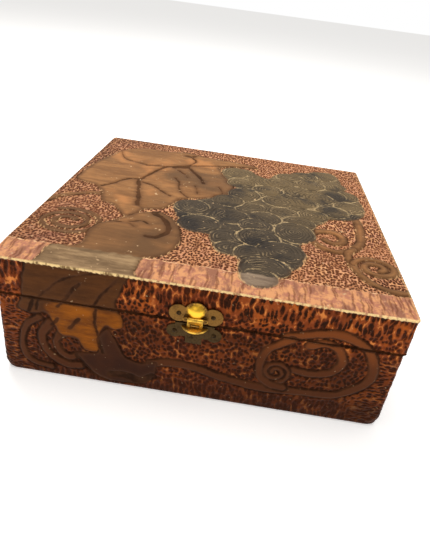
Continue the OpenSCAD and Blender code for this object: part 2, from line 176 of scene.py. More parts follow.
topDrawing = {
    "leaves": [
        [(-8, 82), (6, 90), (24, 92), (20, 100), (0, 104), (-28, 106), (-45, 112), (-62, 107), (-84, 107),
         (-98, 100), (-106, 90), (-110, 78), (-115, 62), (-119, 44), (-121, 25), (-121, 6), (-114, 0),
         (-103, -3), (-97, -10), (-92, -20), (-88, -31), (-78, -37), (-70, -47), (-65, -53), (-60, -47),
         (-55, -37), (-47, -33), (-41, -28), (-36, -18), (-33, -8), (-22, -2), (-11, 3), (-1, 13), (6, 23),
         (6, 36), (1, 50), (-5, 62), (-8, 73)],
        [(-66, -54), (-56, -42), (-45, -37), (-34, -43), (-26, -56), (-22, -70), (-22, -86), (-27, -98),
         (-34, -104), (-40, -107), (-40, -122), (-40, -140), (-98, -140), (-99, -122), (-98, -109),
         (-94, -105), (-83, -103), (-81, -92), (-82, -80), (-79, -70), (-72, -61)],
    ],
    "veins": [  # half width, then the line
        (0.8, [(24, 93), (0, 88), (-22, 80), (-38, 73)]),
        (1.4, [(-38, 73), (-47, 67), (-57, 62), (-62, 52), (-66, 40)]),
        (1.7, [(-66, 40), (-70, 28), (-72, 18), (-70, 8), (-67, -5), (-64, -18), (-62, -30)]),
        (0.8, [(-56, 62), (-66, 61), (-75, 58)]),
        (0.6, [(-74, 59), (-88, 63), (-98, 69), (-105, 85)]),
        (1.3, [(-40, 72), (-32, 58), (-26, 48), (-22, 40), (-20, 33)]),
        (0.8, [(-40, 70), (-34, 86), (-38, 96), (-44, 101)]),
        (1.1, [(-72, 22), (-80, 20), (-86, 13), (-90, 5), (-97, -4)]),
        (1.1, [(-69, 16), (-59, 12), (-52, 5), (-47, 0), (-42, -4)]),
        (0.9, [(-45, 37), (-40, 27), (-38, 15), (-34, 5), (-28, -2)]),
        (0.8, [(-46, 57), (-38, 48), (-35, 42)]),
        (0.5, [(-26, 25), (-23, 15), (-22, 8)]),
        (0.6, [(-6, 30), (-2, 18), (-4, 6)]),
        (0.7, [(-62, -30), (-52, -39), (-44, -38)]),
        (0.5, [(-60, -60), (-52, -56), (-46, -60)]),
        (0.5, [(-75, -64), (-62, -62), (-55, -66)]),
    ],
    "heavy": [
        (2.0, [(-46, -42), (-39, -47), (-33, -58), (-32, -68), (-37, -76), (-44, -78)]),
        (2.2, [(-45, 101), (-40, 100), (-37, 103)]),
        (3.4, [(-40, 69), (-46, 66), (-50, 64)]),
    ],
    "tendrils": [
        (2.6, [(-128, -46), (-124, -42), (-120, -34), (-110, -26), (-99, -19), (-93, -20)]),
        (2.3, coil((-99, -72), 23, 6, -2.2, 120, 0.86)),
        (3.4, [(104, 14), (107, -4), (106, -22), (103, -40), (96, -52), (86, -58), (76, -55), (69, -47),
               (68, -37), (74, -29), (84, -27), (91, -33), (90, -42), (83, -46), (78, -42)]),
        (3.0, [(97, -51), (92, -60), (93, -74), (98, -88), (106, -97), (117, -101), (130, -99)]),
        (2.9, coil((109, -74), 15, 4, -1.6, 170, 0.9)),
    ],
    "bunch": [(-7, 78), (3, 87), (18, 85), (26, 75), (36, 71), (43, 85), (52, 92), (64, 93), (76, 105),
              (90, 112), (100, 108), (104, 92), (106, 62), (114, 52), (117, 32), (114, 12), (102, 0),
              (84, -5), (79, -14), (71, -24), (71, -44), (60, -56), (62, -70), (58, -88), (46, -100),
              (41, -111), (32, -119), (24, -115), (19, -105), (18, -88), (4, -84), (-2, -70), (-2, -62),
              (-20, -57), (-29, -42), (-36, -22), (-32, -9), (-20, -3), (4, 18), (8, 36), (-5, 60)],
    "grapes": [  # middle, half width and half depth; the later ones lie over the earlier
        (88, 98, 14, 13), (70, 90, 13, 12), (104, 52, 12, 13), (56, 80, 13, 12), (94, 74, 14, 12),
        (8, 72, 14, 13), (26, 58, 14, 13), (74, 68, 14, 12), (46, 62, 14, 12), (92, 50, 13, 12),
        (12, 48, 13, 12), (62, 46, 14, 13), (104, 26, 13, 12), (80, 38, 13, 12), (36, 40, 13, 11),
        (88, 12, 14, 12), (16, 22, 14, 14), (64, 22, 14, 12), (44, 18, 13, 12), (72, -2, 12, 12),
        (-4, -10, 15, 12), (24, -6, 14, 12), (48, -6, 13, 12), (4, 4, 13, 12), (-22, -18, 14, 13),
        (60, -20, 13, 12), (34, -20, 13, 12), (8, -26, 15, 13), (-13, -46, 16, 14), (28, -36, 13, 12),
        (56, -38, 15, 17), (9, -62, 13, 13), (30, -55, 16, 14), (12, -76, 11, 9), (46, -72, 17, 15),
        (24, -80, 10, 12), (35, -95, 17, 13), (32, -109, 12, 10),
    ],
}

frontDrawing = {
    "leaves": [
        [(-101, 94), (-103, 86), (-107, 74), (-108, 60), (-111, 51), (-102, 48), (-94, 50), (-88, 40),
         (-84, 34), (-74, 33), (-70, 26), (-59, 26), (-60, 38), (-56, 46), (-51, 46), (-46, 49), (-48, 58),
         (-50, 66), (-47, 76), (-44, 94)],
    ],
    "ochre": [
        [(-93, 57), (-92, 49), (-88, 40), (-84, 35), (-74, 34), (-70, 26), (-59, 26), (-60, 39), (-56, 47),
         (-51, 46), (-46, 49), (-48, 58), (-60, 60), (-78, 60)],
    ],
    "dusk": [
        [(-60, 39), (-55, 46), (-51, 40), (-47, 32), (-42, 25), (-33, 22), (-23, 25), (-23, 16), (-26, 10),
         (-31, 5), (-44, 3), (-55, 3), (-64, 7), (-71, 16), (-74, 22), (-62, 25)],
    ],
    "veins": [
        (0.5, [(-51, 88), (-65, 83), (-77, 79), (-84, 75), (-90, 69), (-97, 61), (-99, 52)]),
        (0.8, [(-72, 75), (-76, 70), (-82, 61), (-86, 56)]),
        (0.5, [(-45, 88), (-53, 77), (-59, 69), (-63, 61)]),
        (0.7, [(-62, 60), (-63, 49), (-61, 40), (-59, 31), (-58, 26)]),
        (0.7, [(-90, 42), (-87, 45), (-86, 47)]),
        (0.8, [(-79, 41), (-76, 45), (-73, 49)]),
        (0.5, [(-101, 58), (-104, 50)]),
    ],
    "heavy": [
        (2.4, [(-52, 9), (-42, 10), (-32, 8), (-25, 12)]),
        (1.0, [(-75, 21), (-71, 15), (-64, 7), (-55, 3)]),
    ],
    "tendrils": [
        (2.4, [(-98, 46), (-106, 39), (-110, 27), (-109, 15), (-103, 9), (-92, 7)]),
        (3.2, [(-91, 43), (-97, 33), (-95, 22), (-89, 15), (-81, 11), (-73, 12)]),
        (2.6, [(-84, 38), (-88, 29), (-86, 22), (-80, 18), (-74, 20)]),
        (3.1, [(-27, 23), (-14, 26), (0, 25.6), (14, 22), (31, 19), (47, 17.6), (62, 19), (81, 20),
               (92, 22), (103, 30), (109, 39), (108, 49), (102, 60), (92, 66), (81, 68), (70, 66),
               (60, 62.6), (54, 61)]),
        (2.8, [(57, 59), (51, 55), (44, 48.5), (41, 38), (42.5, 28), (50, 22), (58, 21)]),
        (2.9, [(68, 57), (78, 60), (86, 56), (89.5, 48), (86, 40), (79, 36.5), (70, 35.5), (62, 36.5)]),
        (1.9, coil((51.5, 32.5), 8.6, 2.2, 1.7, 300, 0.95)),
    ],
}

sideDrawing = {
    "leaves": [
        [(-72, 94), (-66, 80), (-70, 66), (-58, 56), (-48, 60), (-40, 48), (-28, 50), (-22, 62), (-10, 64),
         (-6, 76), (-14, 94)],
    ],
    "veins": [
        (0.9, [(-40, 92), (-40, 78), (-38, 64), (-34, 54)]),
        (0.6, [(-40, 80), (-52, 72), (-58, 64)]),
        (0.6, [(-39, 76), (-28, 70), (-18, 70)]),
    ],
    "tendrils": [
        (3.2, [(-30, 50), (-18, 36), (0, 26), (20, 20), (44, 16), (64, 18), (80, 26), (88, 38), (84, 52),
               (72, 60), (58, 60)]),
        (2.5, coil((66, 40), 14, 4, 1.4, 60, 1.0)),
        (2.8, [(-44, 50), (-56, 40), (-70, 34), (-84, 32)]),
        (2.4, coil((-94, 30), 13, 4, -1.5, 20, 0.95)),
    ],
}

backDrawing = {
    "tendrils": [
        (3.0, [(-118, 14), (-96, 20), (-72, 18), (-48, 12), (-24, 12), (-4, 20), (6, 32), (2, 44),
               (-10, 48)]),
        (2.3, coil((-10, 36), 11, 4, 1.3, 100, 1.0)),
        (3.0, [(118, 16), (96, 20), (72, 16), (48, 14), (32, 22)]),
        (2.3, coil((40, 33), 12, 4, -1.4, 200, 1.0)),
        (2.6, [(-52, 72), (-30, 78), (0, 74), (30, 70), (54, 76)]),
    ],
}


def overlay(got, inside, outline, line=carving["lineHalf"]):  # a new shape hides the lines under it
    got["relief"] = np.minimum(got["relief"], inside)
    got["scorch"] = np.maximum(got["scorch"], -inside)
    if outline:
        got["scorch"] = np.minimum(got["scorch"], np.abs(inside) - line)


def drawn(x, y, drawing):
    far = np.full(x.shape, 50.0)
    got = {"relief": far.copy(), "scorch": far.copy(), "grape": -far, "grapeRim": far.copy(),
           "ochre": np.zeros(x.shape), "dusk": np.zeros(x.shape), "hump": np.zeros(x.shape)}
    wobble = 0.5 * drift(x, y, 7, 3)
    ragged = 0.35 * drift(x, y, 2.2, 13)
    for half, line in drawing.get("tendrils", []):
        d = reach(x, y, line if isinstance(line, np.ndarray) else flow(line))
        wide = half * (1 + 0.14 * drift(x, y, 9, 5)) + 0.4 * ragged
        got["hump"] = np.maximum(got["hump"], np.clip(1 - (d / wide) ** 4, 0, 1))
        overlay(got, d - wide, True)
    for points in drawing.get("leaves", []):
        overlay(got, patch(x, y, points) + wobble + ragged, True)
    for name in ("ochre", "dusk"):
        for points in drawing.get(name, []):
            d = patch(x, y, points) + 2 * wobble
            got[name] = np.maximum(got[name], ease(1.0, -1.5, d))
            overlay(got, d, name == "dusk", 0.2)
    for half, line in drawing.get("veins", []) + drawing.get("heavy", []):
        d = reach(x, y, flow(line)) - half * (1 + 0.3 * drift(x, y, 5, 11)) - ragged
        got["scorch"] = np.minimum(got["scorch"], d)
    if "bunch" in drawing:
        bunch = patch(x, y, drawing["bunch"])
        rim, hump = far.copy(), np.zeros(x.shape)
        lean = drift(x, y, 10, 17)
        for cx, cy, rx, ry in drawing["grapes"]:
            q = np.hypot((x - cx) / rx, (y - cy) / ry)
            d = (q - 1) * min(rx, ry) + 0.5 * lean
            inner = d < 0
            rim = np.where(inner, -d, np.minimum(rim, d))
            hump = np.where(inner, np.sqrt(np.clip(1 - q * q, 0, 1)), hump)
            bunch = np.minimum(bunch, d)
        got["grape"] = -bunch
        got["grapeRim"] = rim
        got["scorch"] = np.where(bunch < 0.6, np.maximum(got["scorch"], 3), got["scorch"])
        got["scorch"] = np.minimum(got["scorch"], np.abs(bunch - 0.3) - 0.1)
        got["hump"] = np.where(bunch < 0, hump, got["hump"])
        got["relief"] = np.minimum(got["relief"], bunch)
    return got


def carved(got, rough):  # how deep the surface lies under the board's own face, millimetres
    raised = carving["raised"] - carving["hump"] * got["hump"]
    ground = carving["ground"] + carving["pits"] * rough
    depth = blend(raised, ground, ease(-0.3, 0.5, got["relief"]))
    depth = depth + carving["line"] * (1 - ease(-0.2, 0.6, got["scorch"]))
    line = (got["grape"] > 0) * (1 - ease(0.2, 1.0, got["grapeRim"]))
    return depth + carving["grapeLine"] * line


def topSkin(x, y):
    got = drawn(x, y, topDrawing)
    got["planed"] = ease(-105.2, -106.2, y + 0.9 * drift(x, y, 3.2, 21))
    pits = 1 - ease(0.2, 0.55, dabs(x, y, 2.5, 2.8, 2, 0.6))
    strokes = 0.5 - 0.5 * ease(0.28, 0.62, dabs(x, y, 3.1, 15, 4))
    got["depth"] = carved(got, blend(pits, strokes, got["planed"]))
    return got


def sideSkin(u, z, halfW, halfD):  # u runs round the outside of the box, 0 at the middle of the front
    total = 4 * (halfW + halfD)
    got = {k: np.full(u.shape, 50.0) for k in ("relief", "scorch", "grapeRim")}
    got.update({k: np.zeros(u.shape) for k in ("ochre", "dusk", "hump", "planed")})
    got["grape"] = np.full(u.shape, -50.0)
    for centre, half, drawing in ((0, halfW, frontDrawing), (halfW + halfD, halfD, sideDrawing),
                                  (-halfW - halfD, halfD, sideDrawing), (total / 2, halfW, backDrawing)):
        p = (u - centre + total / 2) % total - total / 2
        if drawing is sideDrawing and centre < 0:
            p = -p
        near = np.abs(p) < half + 6
        if not near.any():
            continue
        part = drawn(p[near], z[near], drawing)
        for k in ("relief", "scorch"):
            got[k][near] = np.minimum(got[k][near], part[k])
        for k in ("ochre", "dusk", "hump"):
            got[k][near] = np.maximum(got[k][near], part[k])
    split = np.abs(z - (splitLow + splitHigh) / 2)
    got["scorch"] = np.minimum(got["scorch"], split - 0.75 - 0.25 * drift(u, z, 6, 23))
    dots = 1 - ease(0.28, 0.62, dabs(u, z, 2.8, 3.4, 33))
    flames = 1 - ease(0.28, 0.62, dabs(u, z, 2.7, 8.0, 31))
    got["depth"] = carved(got, blend(dots, flames, ease(64, 70, z)))
    return got


box = {
    "cornerR": 3.0,     # upright corners
    "footBreak": 2.0,   # edges of the underside
    "topBreak": 1.0,    # edges of the lid's top
    "bandWide": 22.0,   # band planed down along the front of the top
    "bandDrop": 1.0,
    "rimSoft": 0.35,    # worn edges along the split and the joints
    "cornerWorn": 1.9,  # how far the lower corners are knocked back
    "cornerReach": 8.0,
    "fineStep": 0.55,   # spacing of the carved front
    "plainStep": 0.75,  # spacing of the carved sides and back
    "topStepX": 0.78,
    "topStepY": 1.08,
    "toothStep": 3.1,   # spacing of the nicks along the front edge of the top
    "toothDeep": 0.45,
    "cornerLight": 1.6, # how much wider the painted highlight along the edge gets towards its right corner
    "capInset": 0.08,   # how far the boards' end faces lie within their outline
    "topInset": 0.1,
    "innerEnds": (3.5, 6.0),  # points along a plain inner face, from its ends
    "innerMid": 60.0,
}

baseLow, baseHigh = boxOf("base_front_wall")
lidLow, lidHigh = boxOf("lid_top_board")
railLow, railHigh = boxOf("lid_front_rail")
boardLow, boardHigh = boxOf("base_bottom_board")
sideLow, sideHigh = boxOf("base_left_wall")
halfBase = baseHigh[0]
halfLid = lidHigh[0]
halfDeep = lidHigh[1]
wallThick = baseHigh[1] - baseLow[1]
splitLow, splitHigh = baseHigh[2], railLow[2]
railTop = lidLow[2]
topZ = lidHigh[2]


def spaced(low, high, step):  # even steps, with closer ones at both ends for the worn edges
    ends, margin = np.array([0.12, 0.3, 0.6, 1.1]), 1.6
    length = high - low - 2 * margin
    inner = np.arange(low + margin, high - margin + 1e-6, length / max(2, round(length / step)))
    return np.unique(np.round(np.concatenate([[low], low + ends, inner, high - ends, [high]]), 4))


def outlineAt(u, halfW, halfD, r):  # place and outward direction along the box's rounded outline
    total = 4 * (halfW + halfD)
    v = (u + halfW) % total
    starts = np.array([0, 2 * halfW, 2 * halfW + 2 * halfD, 4 * halfW + 2 * halfD])
    lengths = np.array([2 * halfW, 2 * halfD] * 2)
    corners = np.array([(-halfW, -halfD), (halfW, -halfD), (halfW, halfD), (-halfW, halfD)])
    ways = np.array([(1, 0), (0, 1), (-1, 0), (0, -1)])
    outs = np.array([(0, -1), (1, 0), (0, 1), (-1, 0)])
    k = np.searchsorted(starts, v + 1e-9, side="right") - 1
    a = v - starts[k]
    place = corners[k] + ways[k] * a[:, None]
    face = outs[k].astype(float)
    for corner, turn, near in ((k, -1, a < r), ((k + 1) % 4, 0, a > lengths[k] - r)):
        c = corner[near]
        before, after = outs[(c - 1) % 4], outs[c]
        along = (a[near] / r + 1 if turn else (a[near] - lengths[k][near] + r) / r) * math.pi / 4
        way = before * np.cos(along)[:, None] + after * np.sin(along)[:, None]
        hub = corners[c] - r * (before + after)
        place[near] = hub + r * way
        face[near] = way
    return place, face


def rounding(gap, r):  # how far a rounded edge falls back at a distance from the edge
    t = np.clip((r - gap) / r, 0, 1)
    return r * (1 - np.sqrt(np.clip(1 - t * t, 0, 1)))


drawnFields = ("relief", "scorch", "grape", "grapeRim", "ochre", "dusk", "planed")
boardFields = ("rim", "bare", "side", "round")


def welded(verts, faces, fields):  # corners in one place made one, and what has no area left out
    spots, first, new = np.unique(np.round(verts, 4), axis=0, return_index=True, return_inverse=True)
    new = new.ravel().tolist()
    kept = []
    for face in faces:
        face = [new[i] for i in face]
        face = [i for i, before in zip(face, face[-1:] + face[:-1]) if i != before]
        if len(set(face)) > 2:
            kept.append(face)
    return verts[first], kept, {key: np.asarray(values)[first] for key, values in fields.items()}


def makeMesh(name, verts, faces, fields):
    verts, faces, fields = welded(verts, faces, fields)
    piece = newPiece(name, (verts * mm).tolist(), faces=faces, finish=burntFinish)
    for key in drawnFields + boardFields:
        attribute = piece.data.attributes.new(key, "FLOAT", "POINT")
        attribute.data.foreach_set("value", np.asarray(fields[key], np.float32))
    piece.data.validate()
    smoothed(piece, 50)
    return piece


def toothAt(u):  # nicks along the top's front edge
    wave = 0.5 + 0.5 * np.cos(2 * math.pi * (u + 0.8 * drift(u, u * 0, 9, 51)) / box["toothStep"])
    return box["toothDeep"] * wave ** 1.5 * (0.7 + 0.3 * drift(u, u * 0, 6, 52))


def wallBoard(name, reachU, halfW, zLow, zHigh, innerHigh, innerLow, stepZ, step, foot):
    r, soft = box["cornerR"], box["rimSoft"]
    u = spaced(*reachU, step)
    place, face = outlineAt(u, halfW, halfDeep, r)
    zs = list(spaced(zLow, zHigh, step))
    rebate = innerLow is not None
    if rebate:
        zs = sorted([z for z in zs if abs(z - stepZ) > 0.1] + [stepZ, stepZ])
    zs = np.array(zs)
    nu, nz, inner = len(u), len(zs), len(innerHigh)
    gridU, gridZ = np.meshgrid(u, zs)
    got = sideSkin(gridU.ravel(), gridZ.ravel(), halfW, halfDeep)
    upper = rounding(zHigh - zs, soft) * (zHigh < railTop)
    lower = rounding(zs - zLow, foot if foot else soft)
    fade = np.where(zHigh < railTop, ease(0, 0.6, zHigh - zs), 1) * ease(0, 0.6, zs - zLow)
    back = (upper + lower)[:, None] + got["depth"].reshape(nz, nu) * fade[:, None]
    if foot:  # the box's lower corners are knocked round
        quarter = halfW + halfDeep
        corner = np.abs(np.abs((gridU + quarter) % (2 * quarter) - quarter) - halfW)
        back = back + box["cornerWorn"] * ease(box["cornerReach"], 0, np.hypot(corner, gridZ))
    outer = place[None] - face[None] * back[..., None]
    ring = np.zeros((nz, nu + inner, 3))
    ring[:, :nu, :2] = outer
    ring[..., 2] = zs[:, None]
    for j in range(nz):
        under = rebate and (zs[j] < stepZ or (zs[j] == stepZ and zs[j - 1] < stepZ))
        ring[j, nu:, :2] = innerLow if under else innerHigh
    width = nu + inner
    verts = [ring.reshape(-1, 3)]
    faces = []
    for j in range(nz - 1):
        for i in range(width):
            n = (i + 1) % width
            faces.append((j * width + i, j * width + n, (j + 1) * width + n, (j + 1) * width + i))
    count = nz * width
    for j, flip in ((0, True), (nz - 1, False)):
        loop = ring[j].copy()
        loop[:nu, :2] -= face * box["capInset"]
        verts.append(loop)
        base = count
        count += width
        for i in range(width):
            n = (i + 1) % width
            quad = (j * width + i, j * width + n, base + n, base + i)
            faces.append(quad[::-1] if flip else quad)
        faces.append(tuple(range(base, base + width))[::-1 if flip else 1])
    fields = {}
    for key in drawnFields:
        grid = np.zeros((nz, width))
        grid[:, :nu] = got[key].reshape(nz, nu)
        if key in ("relief", "scorch", "grapeRim"):
            grid[:, nu:] = 50
        fields[key] = np.concatenate([grid.ravel(), grid[0], grid[-1]])
    bare = np.zeros((nz, width))
    bare[:, nu:] = 1
    fields["bare"] = np.concatenate([bare.ravel(), np.ones(2 * width)])
    around = np.zeros((nz, width))
    around[:, :nu] = gridU
    fields["round"] = np.concatenate([around.ravel(), around[0], around[-1]]) * mm
    fields["side"] = np.ones(count)
    fields["rim"] = np.zeros(count)
    return makeMesh(name, np.vstack(verts), faces, fields)


def crossInner(halfW, side):  # inner points of a front or back board, side -1 or 1, in outline order
    a = side * (halfDeep - wallThick)
    near, far = halfW - np.array(box["innerEnds"])
    mid = box["innerMid"]
    xs = np.array([near, far, mid, 0, -mid, -far, -near]) * -side
    return np.stack([xs, xs * 0 + a], 1)


def crossRebate(side):
    a, b = side * (halfDeep - wallThick), side * boardHigh[1]
    e, mid = boardHigh[0], box["innerMid"]
    points = np.array([(e, a), (e, b), (mid, b), (0, b), (-mid, b), (-e, b), (-e, a)])
    return points * np.array([1 if side < 0 else -1, 1])


def flankInner(x):  # inner points of a side board, in outline order for x > 0
    y, mid = halfDeep - wallThick, box["innerMid"]
    ys = np.array([y, mid, 0, -mid, -y]) * (1 if x > 0 else -1)
    return np.stack([ys * 0 + x, ys], 1)


def makeBoards():
    for body, kind, halfW, zLow, zHigh in (("base", "wall", halfBase, 0.0, splitLow),
                                           ("lid", "rail", halfLid, splitHigh, railTop)):
        isBase = body == "base"
        foot = box["footBreak"] if isBase else 0.0
        for k, name in enumerate(("front", "right", "back", "left")):
            node = f"{body}_{name}_{kind}"
            middle = k * (halfW + halfDeep)
            step = box["fineStep"] if k == 0 else box["plainStep"]
            if k % 2 == 0:
                side = -1 if k == 0 else 1
                half = halfW + wallThick
                high = crossInner(halfW, side)
                low = crossRebate(side) if isBase else None
            else:
                side = 1 if k == 1 else -1
                half = halfDeep - wallThick
                high = flankInner(side * (halfW - wallThick))
                low = flankInner(side * boardHigh[0]) if isBase else None
            piece = wallBoard("carved_" + node, (middle - half, middle + half), halfW, zLow, zHigh, high,
                              low, boardHigh[2], step, foot)
            finishBoard(piece, body, node)


def finishBoard(piece, body, node):
    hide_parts(node)
    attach(piece, body)


def cornered(x, y, halfX, halfY, r):  # a grid pulled in to round corners, and its distance to the edge
    s, t = (np.abs(x) - halfX + r) / r, (np.abs(y) - halfY + r) / r
    corner = (s > 0) & (t > 0)
    big, small = np.maximum(s, t), np.minimum(s, t)
    turn = small / np.maximum(big, 1e-9) * math.pi / 4
    angle = np.where(s >= t, turn, math.pi / 2 - turn)
    px = np.where(corner, np.sign(x) * (halfX - r + r * big * np.cos(angle)), x)
    py = np.where(corner, np.sign(y) * (halfY - r + r * big * np.sin(angle)), y)
    gap = np.where(corner, r * (1 - big), np.minimum(halfX - np.abs(x), halfY - np.abs(y)))
    return px, py, gap


def gridFaces(nx, ny):  # a grid's faces, and the loop of its edge
    index = np.arange(nx * ny).reshape(ny, nx)
    faces = np.stack([index[:-1, :-1], index[:-1, 1:], index[1:, 1:], index[1:, :-1]], -1).reshape(-1, 4)
    loop = np.concatenate([index[0, :-1], index[:-1, -1], index[-1, :0:-1], index[:0:-1, 0]])
    return faces, loop


def lidTop():
    r, hw, hd = box["cornerR"], halfLid, halfDeep
    xs = spaced(-hw, hw, box["topStepX"])
    ys = spaced(-hd, hd, box["topStepY"])
    flatX, flatY = [a.ravel() for a in np.meshgrid(xs, ys)]
    px, py, gap = cornered(flatX, flatY, hw, hd, r)
    got = topSkin(px, py)
    slope = np.clip((-hd + box["bandWide"] - py) / box["bandWide"], 0, 1) * box["bandDrop"]
    front = ease(4, 1, hd + flatY)
    tooth = toothAt(flatX) * front + 0.5 * toothAt(flatX + flatY) * (1 - front)
    height = topZ - slope - rounding(gap, box["topBreak"])
    height = height - got["depth"] * ease(0, 1.6, gap) - 0.6 * tooth * ease(1.4, 0, gap)
    px = px - ease(2, 0, hw - np.abs(flatX)) * np.sign(flatX) * tooth
    py = py - ease(2, 0, hd - np.abs(flatY)) * np.sign(flatY) * tooth
    cap = np.stack([px, py, height], 1)
    faces, loop = gridFaces(len(xs), len(ys))
    faces = faces.tolist()
    lx, ly = flatX[loop], flatY[loop]
    u = np.where(np.isclose(ly, -hd), lx, 0.0)
    u = np.where(np.isclose(lx, hw) & ~np.isclose(ly, -hd), hw + hd + ly, u)
    u = np.where(np.isclose(ly, hd), 2 * hw + 2 * hd - lx, u)
    u = np.where(np.isclose(lx, -hw) & ~np.isclose(ly, hd) & ~np.isclose(ly, -hd), -hw - hd - ly, u)
    n = len(loop)
    zStart = cap[loop, 2]
    levels = np.linspace(0, 1, 11)[1:]
    place, face = outlineAt(u, hw, hd, r)
    verts, rows = [cap], [loop]
    parts = {k: [got[k]] for k in drawnFields}
    # rim: a painted highlight along the top's edges, strongest at the front
    rimHighlightTop = ease(0.9 + box["cornerLight"] * ease(85, 122, flatX), 0.15, gap) * blend(0.35, 1.0, front)
    rimHighlights, bares, sides = [rimHighlightTop], [np.zeros(len(cap))], [ease(0.5, 0.1, gap)]
    isFront = np.isclose(ly, -hd)
    toothU = np.where(isFront, toothAt(u), 0.5 * toothAt(lx + ly))
    count = len(cap)
    for f in levels:
        z = blend(zStart, railTop, f)
        skin = sideSkin(u, z, hw, hd)
        down = zStart - z
        depth = skin["depth"] * ease(0.2, 1.6, down) + toothU * ease(2.4, 0.2, down)
        verts.append(np.column_stack([place - face * depth[:, None], z]))
        rows.append(np.arange(count, count + n))
        count += n
        for k in parts:
            parts[k].append(skin[k])
        # the painted highlight runs a little way down the boards' upper edge
        waver = 0.35 * np.sin(2 * math.pi * u / box["toothStep"]) + 0.3 * drift(u, z, 3, 61)
        rimHighlights.append(ease(0.6, 0.05, down + waver) * np.where(isFront, 1.0, 0.35))
        bares.append(np.zeros(n))
        sides.append(np.ones(n))
    last = verts[-1].copy()
    last[:, :2] -= face * box["topInset"]
    verts.append(last)
    rows.append(np.arange(count, count + n))
    for k in parts:
        away = np.full(n, -50.0 if k == "grape" else 50.0)
        parts[k].append(parts[k][-1] if k in ("ochre", "dusk", "planed") else away)
    rimHighlights.append(np.zeros(n))
    bares.append(np.ones(n))
    sides.append(np.ones(n))
    for a, b in zip(rows[:-1], rows[1:]):
        faces += np.stack([a, b, np.roll(b, -1), np.roll(a, -1)], 1).tolist()
    faces.append(rows[-1][::-1].tolist())
    fields = {k: np.concatenate(v) for k, v in parts.items()}
    around = np.concatenate([np.zeros(len(cap)), np.tile(u, len(rows) - 1)]) * mm
    fields.update(rim=np.concatenate(rimHighlights), bare=np.concatenate(bares), side=np.concatenate(sides),
                  round=around)
    piece = makeMesh("carved_lid_top_board", np.vstack(verts), faces, fields)
    finishBoard(piece, "lid", "lid_top_board")


class Tap:  # one socket of a node tree, so that sums of sockets read as sums
    def __init__(self, shop, socket):
        self.shop, self.socket = shop, socket

    def maths(self, operation, *values):
        return self.shop.node("ShaderNodeMath", {"operation": operation}, dict(enumerate(values)))

    def __add__(self, other):
        return self.maths("ADD", self, other)

    def __radd__(self, other):
        return self.maths("ADD", other, self)

    def __sub__(self, other):
        return self.maths("SUBTRACT", self, other)

    def __rsub__(self, other):
        return self.maths("SUBTRACT", other, self)

    def __mul__(self, other):
        return self.maths("MULTIPLY", self, other)

    def __rmul__(self, other):
        return self.maths("MULTIPLY", other, self)


class Shop:  # builds one material
    def __init__(self, name):
        self.material = bpy.data.materials.new(name)
        self.material.use_nodes = True
        self.tree = self.material.node_tree
        self.tree.nodes.clear()
        self.place = self.node("ShaderNodeTexCoord", out="Object")

    def node(self, kind, settings=None, values=None, out=0):
        made = self.tree.nodes.new(kind)
        for key, value in (settings or {}).items():
            setattr(made, key, value)
        for key, value in (values or {}).items():
            if isinstance(value, Tap):
                self.tree.links.new(value.socket, made.inputs[key])
            elif isinstance(value, tuple) and len(value) == 3 and made.inputs[key].type == "RGBA":
                made.inputs[key].default_value = (*value, 1)
            else:
                made.inputs[key].default_value = value
        return Tap(self, made.outputs[out])

    def field(self, name):
        return self.node("ShaderNodeAttribute", {"attribute_name": name}, out="Fac")

    def mix(self, a, b, amount):  # from one colour to another
        return self.node("ShaderNodeMix", {"data_type": "RGBA", "clamp_factor": True},
                         {0: amount, 6: a, 7: b}, out=2)

    def step(self, value, low, high):  # 0 below low, 1 above high
        return self.node("ShaderNodeMapRange", {"interpolation_type": "SMOOTHSTEP"},
                         {0: value, 1: low, 2: high, 3: 0.0, 4: 1.0})

    def stretched(self, x, y, z):
        return self.node("ShaderNodeMapping", None, {"Vector": self.place, "Scale": (x, y, z)})

    def noise(self, scale, detail=3.0, rough=0.55, at=None, seed=0.0):
        return self.node("ShaderNodeTexNoise", {"noise_dimensions": "4D"},
                         {"Vector": at or self.place, "W": seed, "Scale": scale, "Detail": detail,
                          "Roughness": rough})

    def bump(self, height, strength, distance):
        return self.node("ShaderNodeBump", None,
                         {"Height": height, "Strength": strength, "Distance": distance})

    def finish(self, **values):
        shader = self.node("ShaderNodeBsdfPrincipled", None, values)
        out = self.tree.nodes.new("ShaderNodeOutputMaterial")
        self.tree.links.new(shader.socket, out.inputs["Surface"])
        return self.material


def shade(r, g, b):  # screen colour 0-255 to the light the shader wants
    return tuple(((c / 255 + 0.055) / 1.055) ** 2.4 if c > 10 else c / 255 / 12.92 for c in (r, g, b))


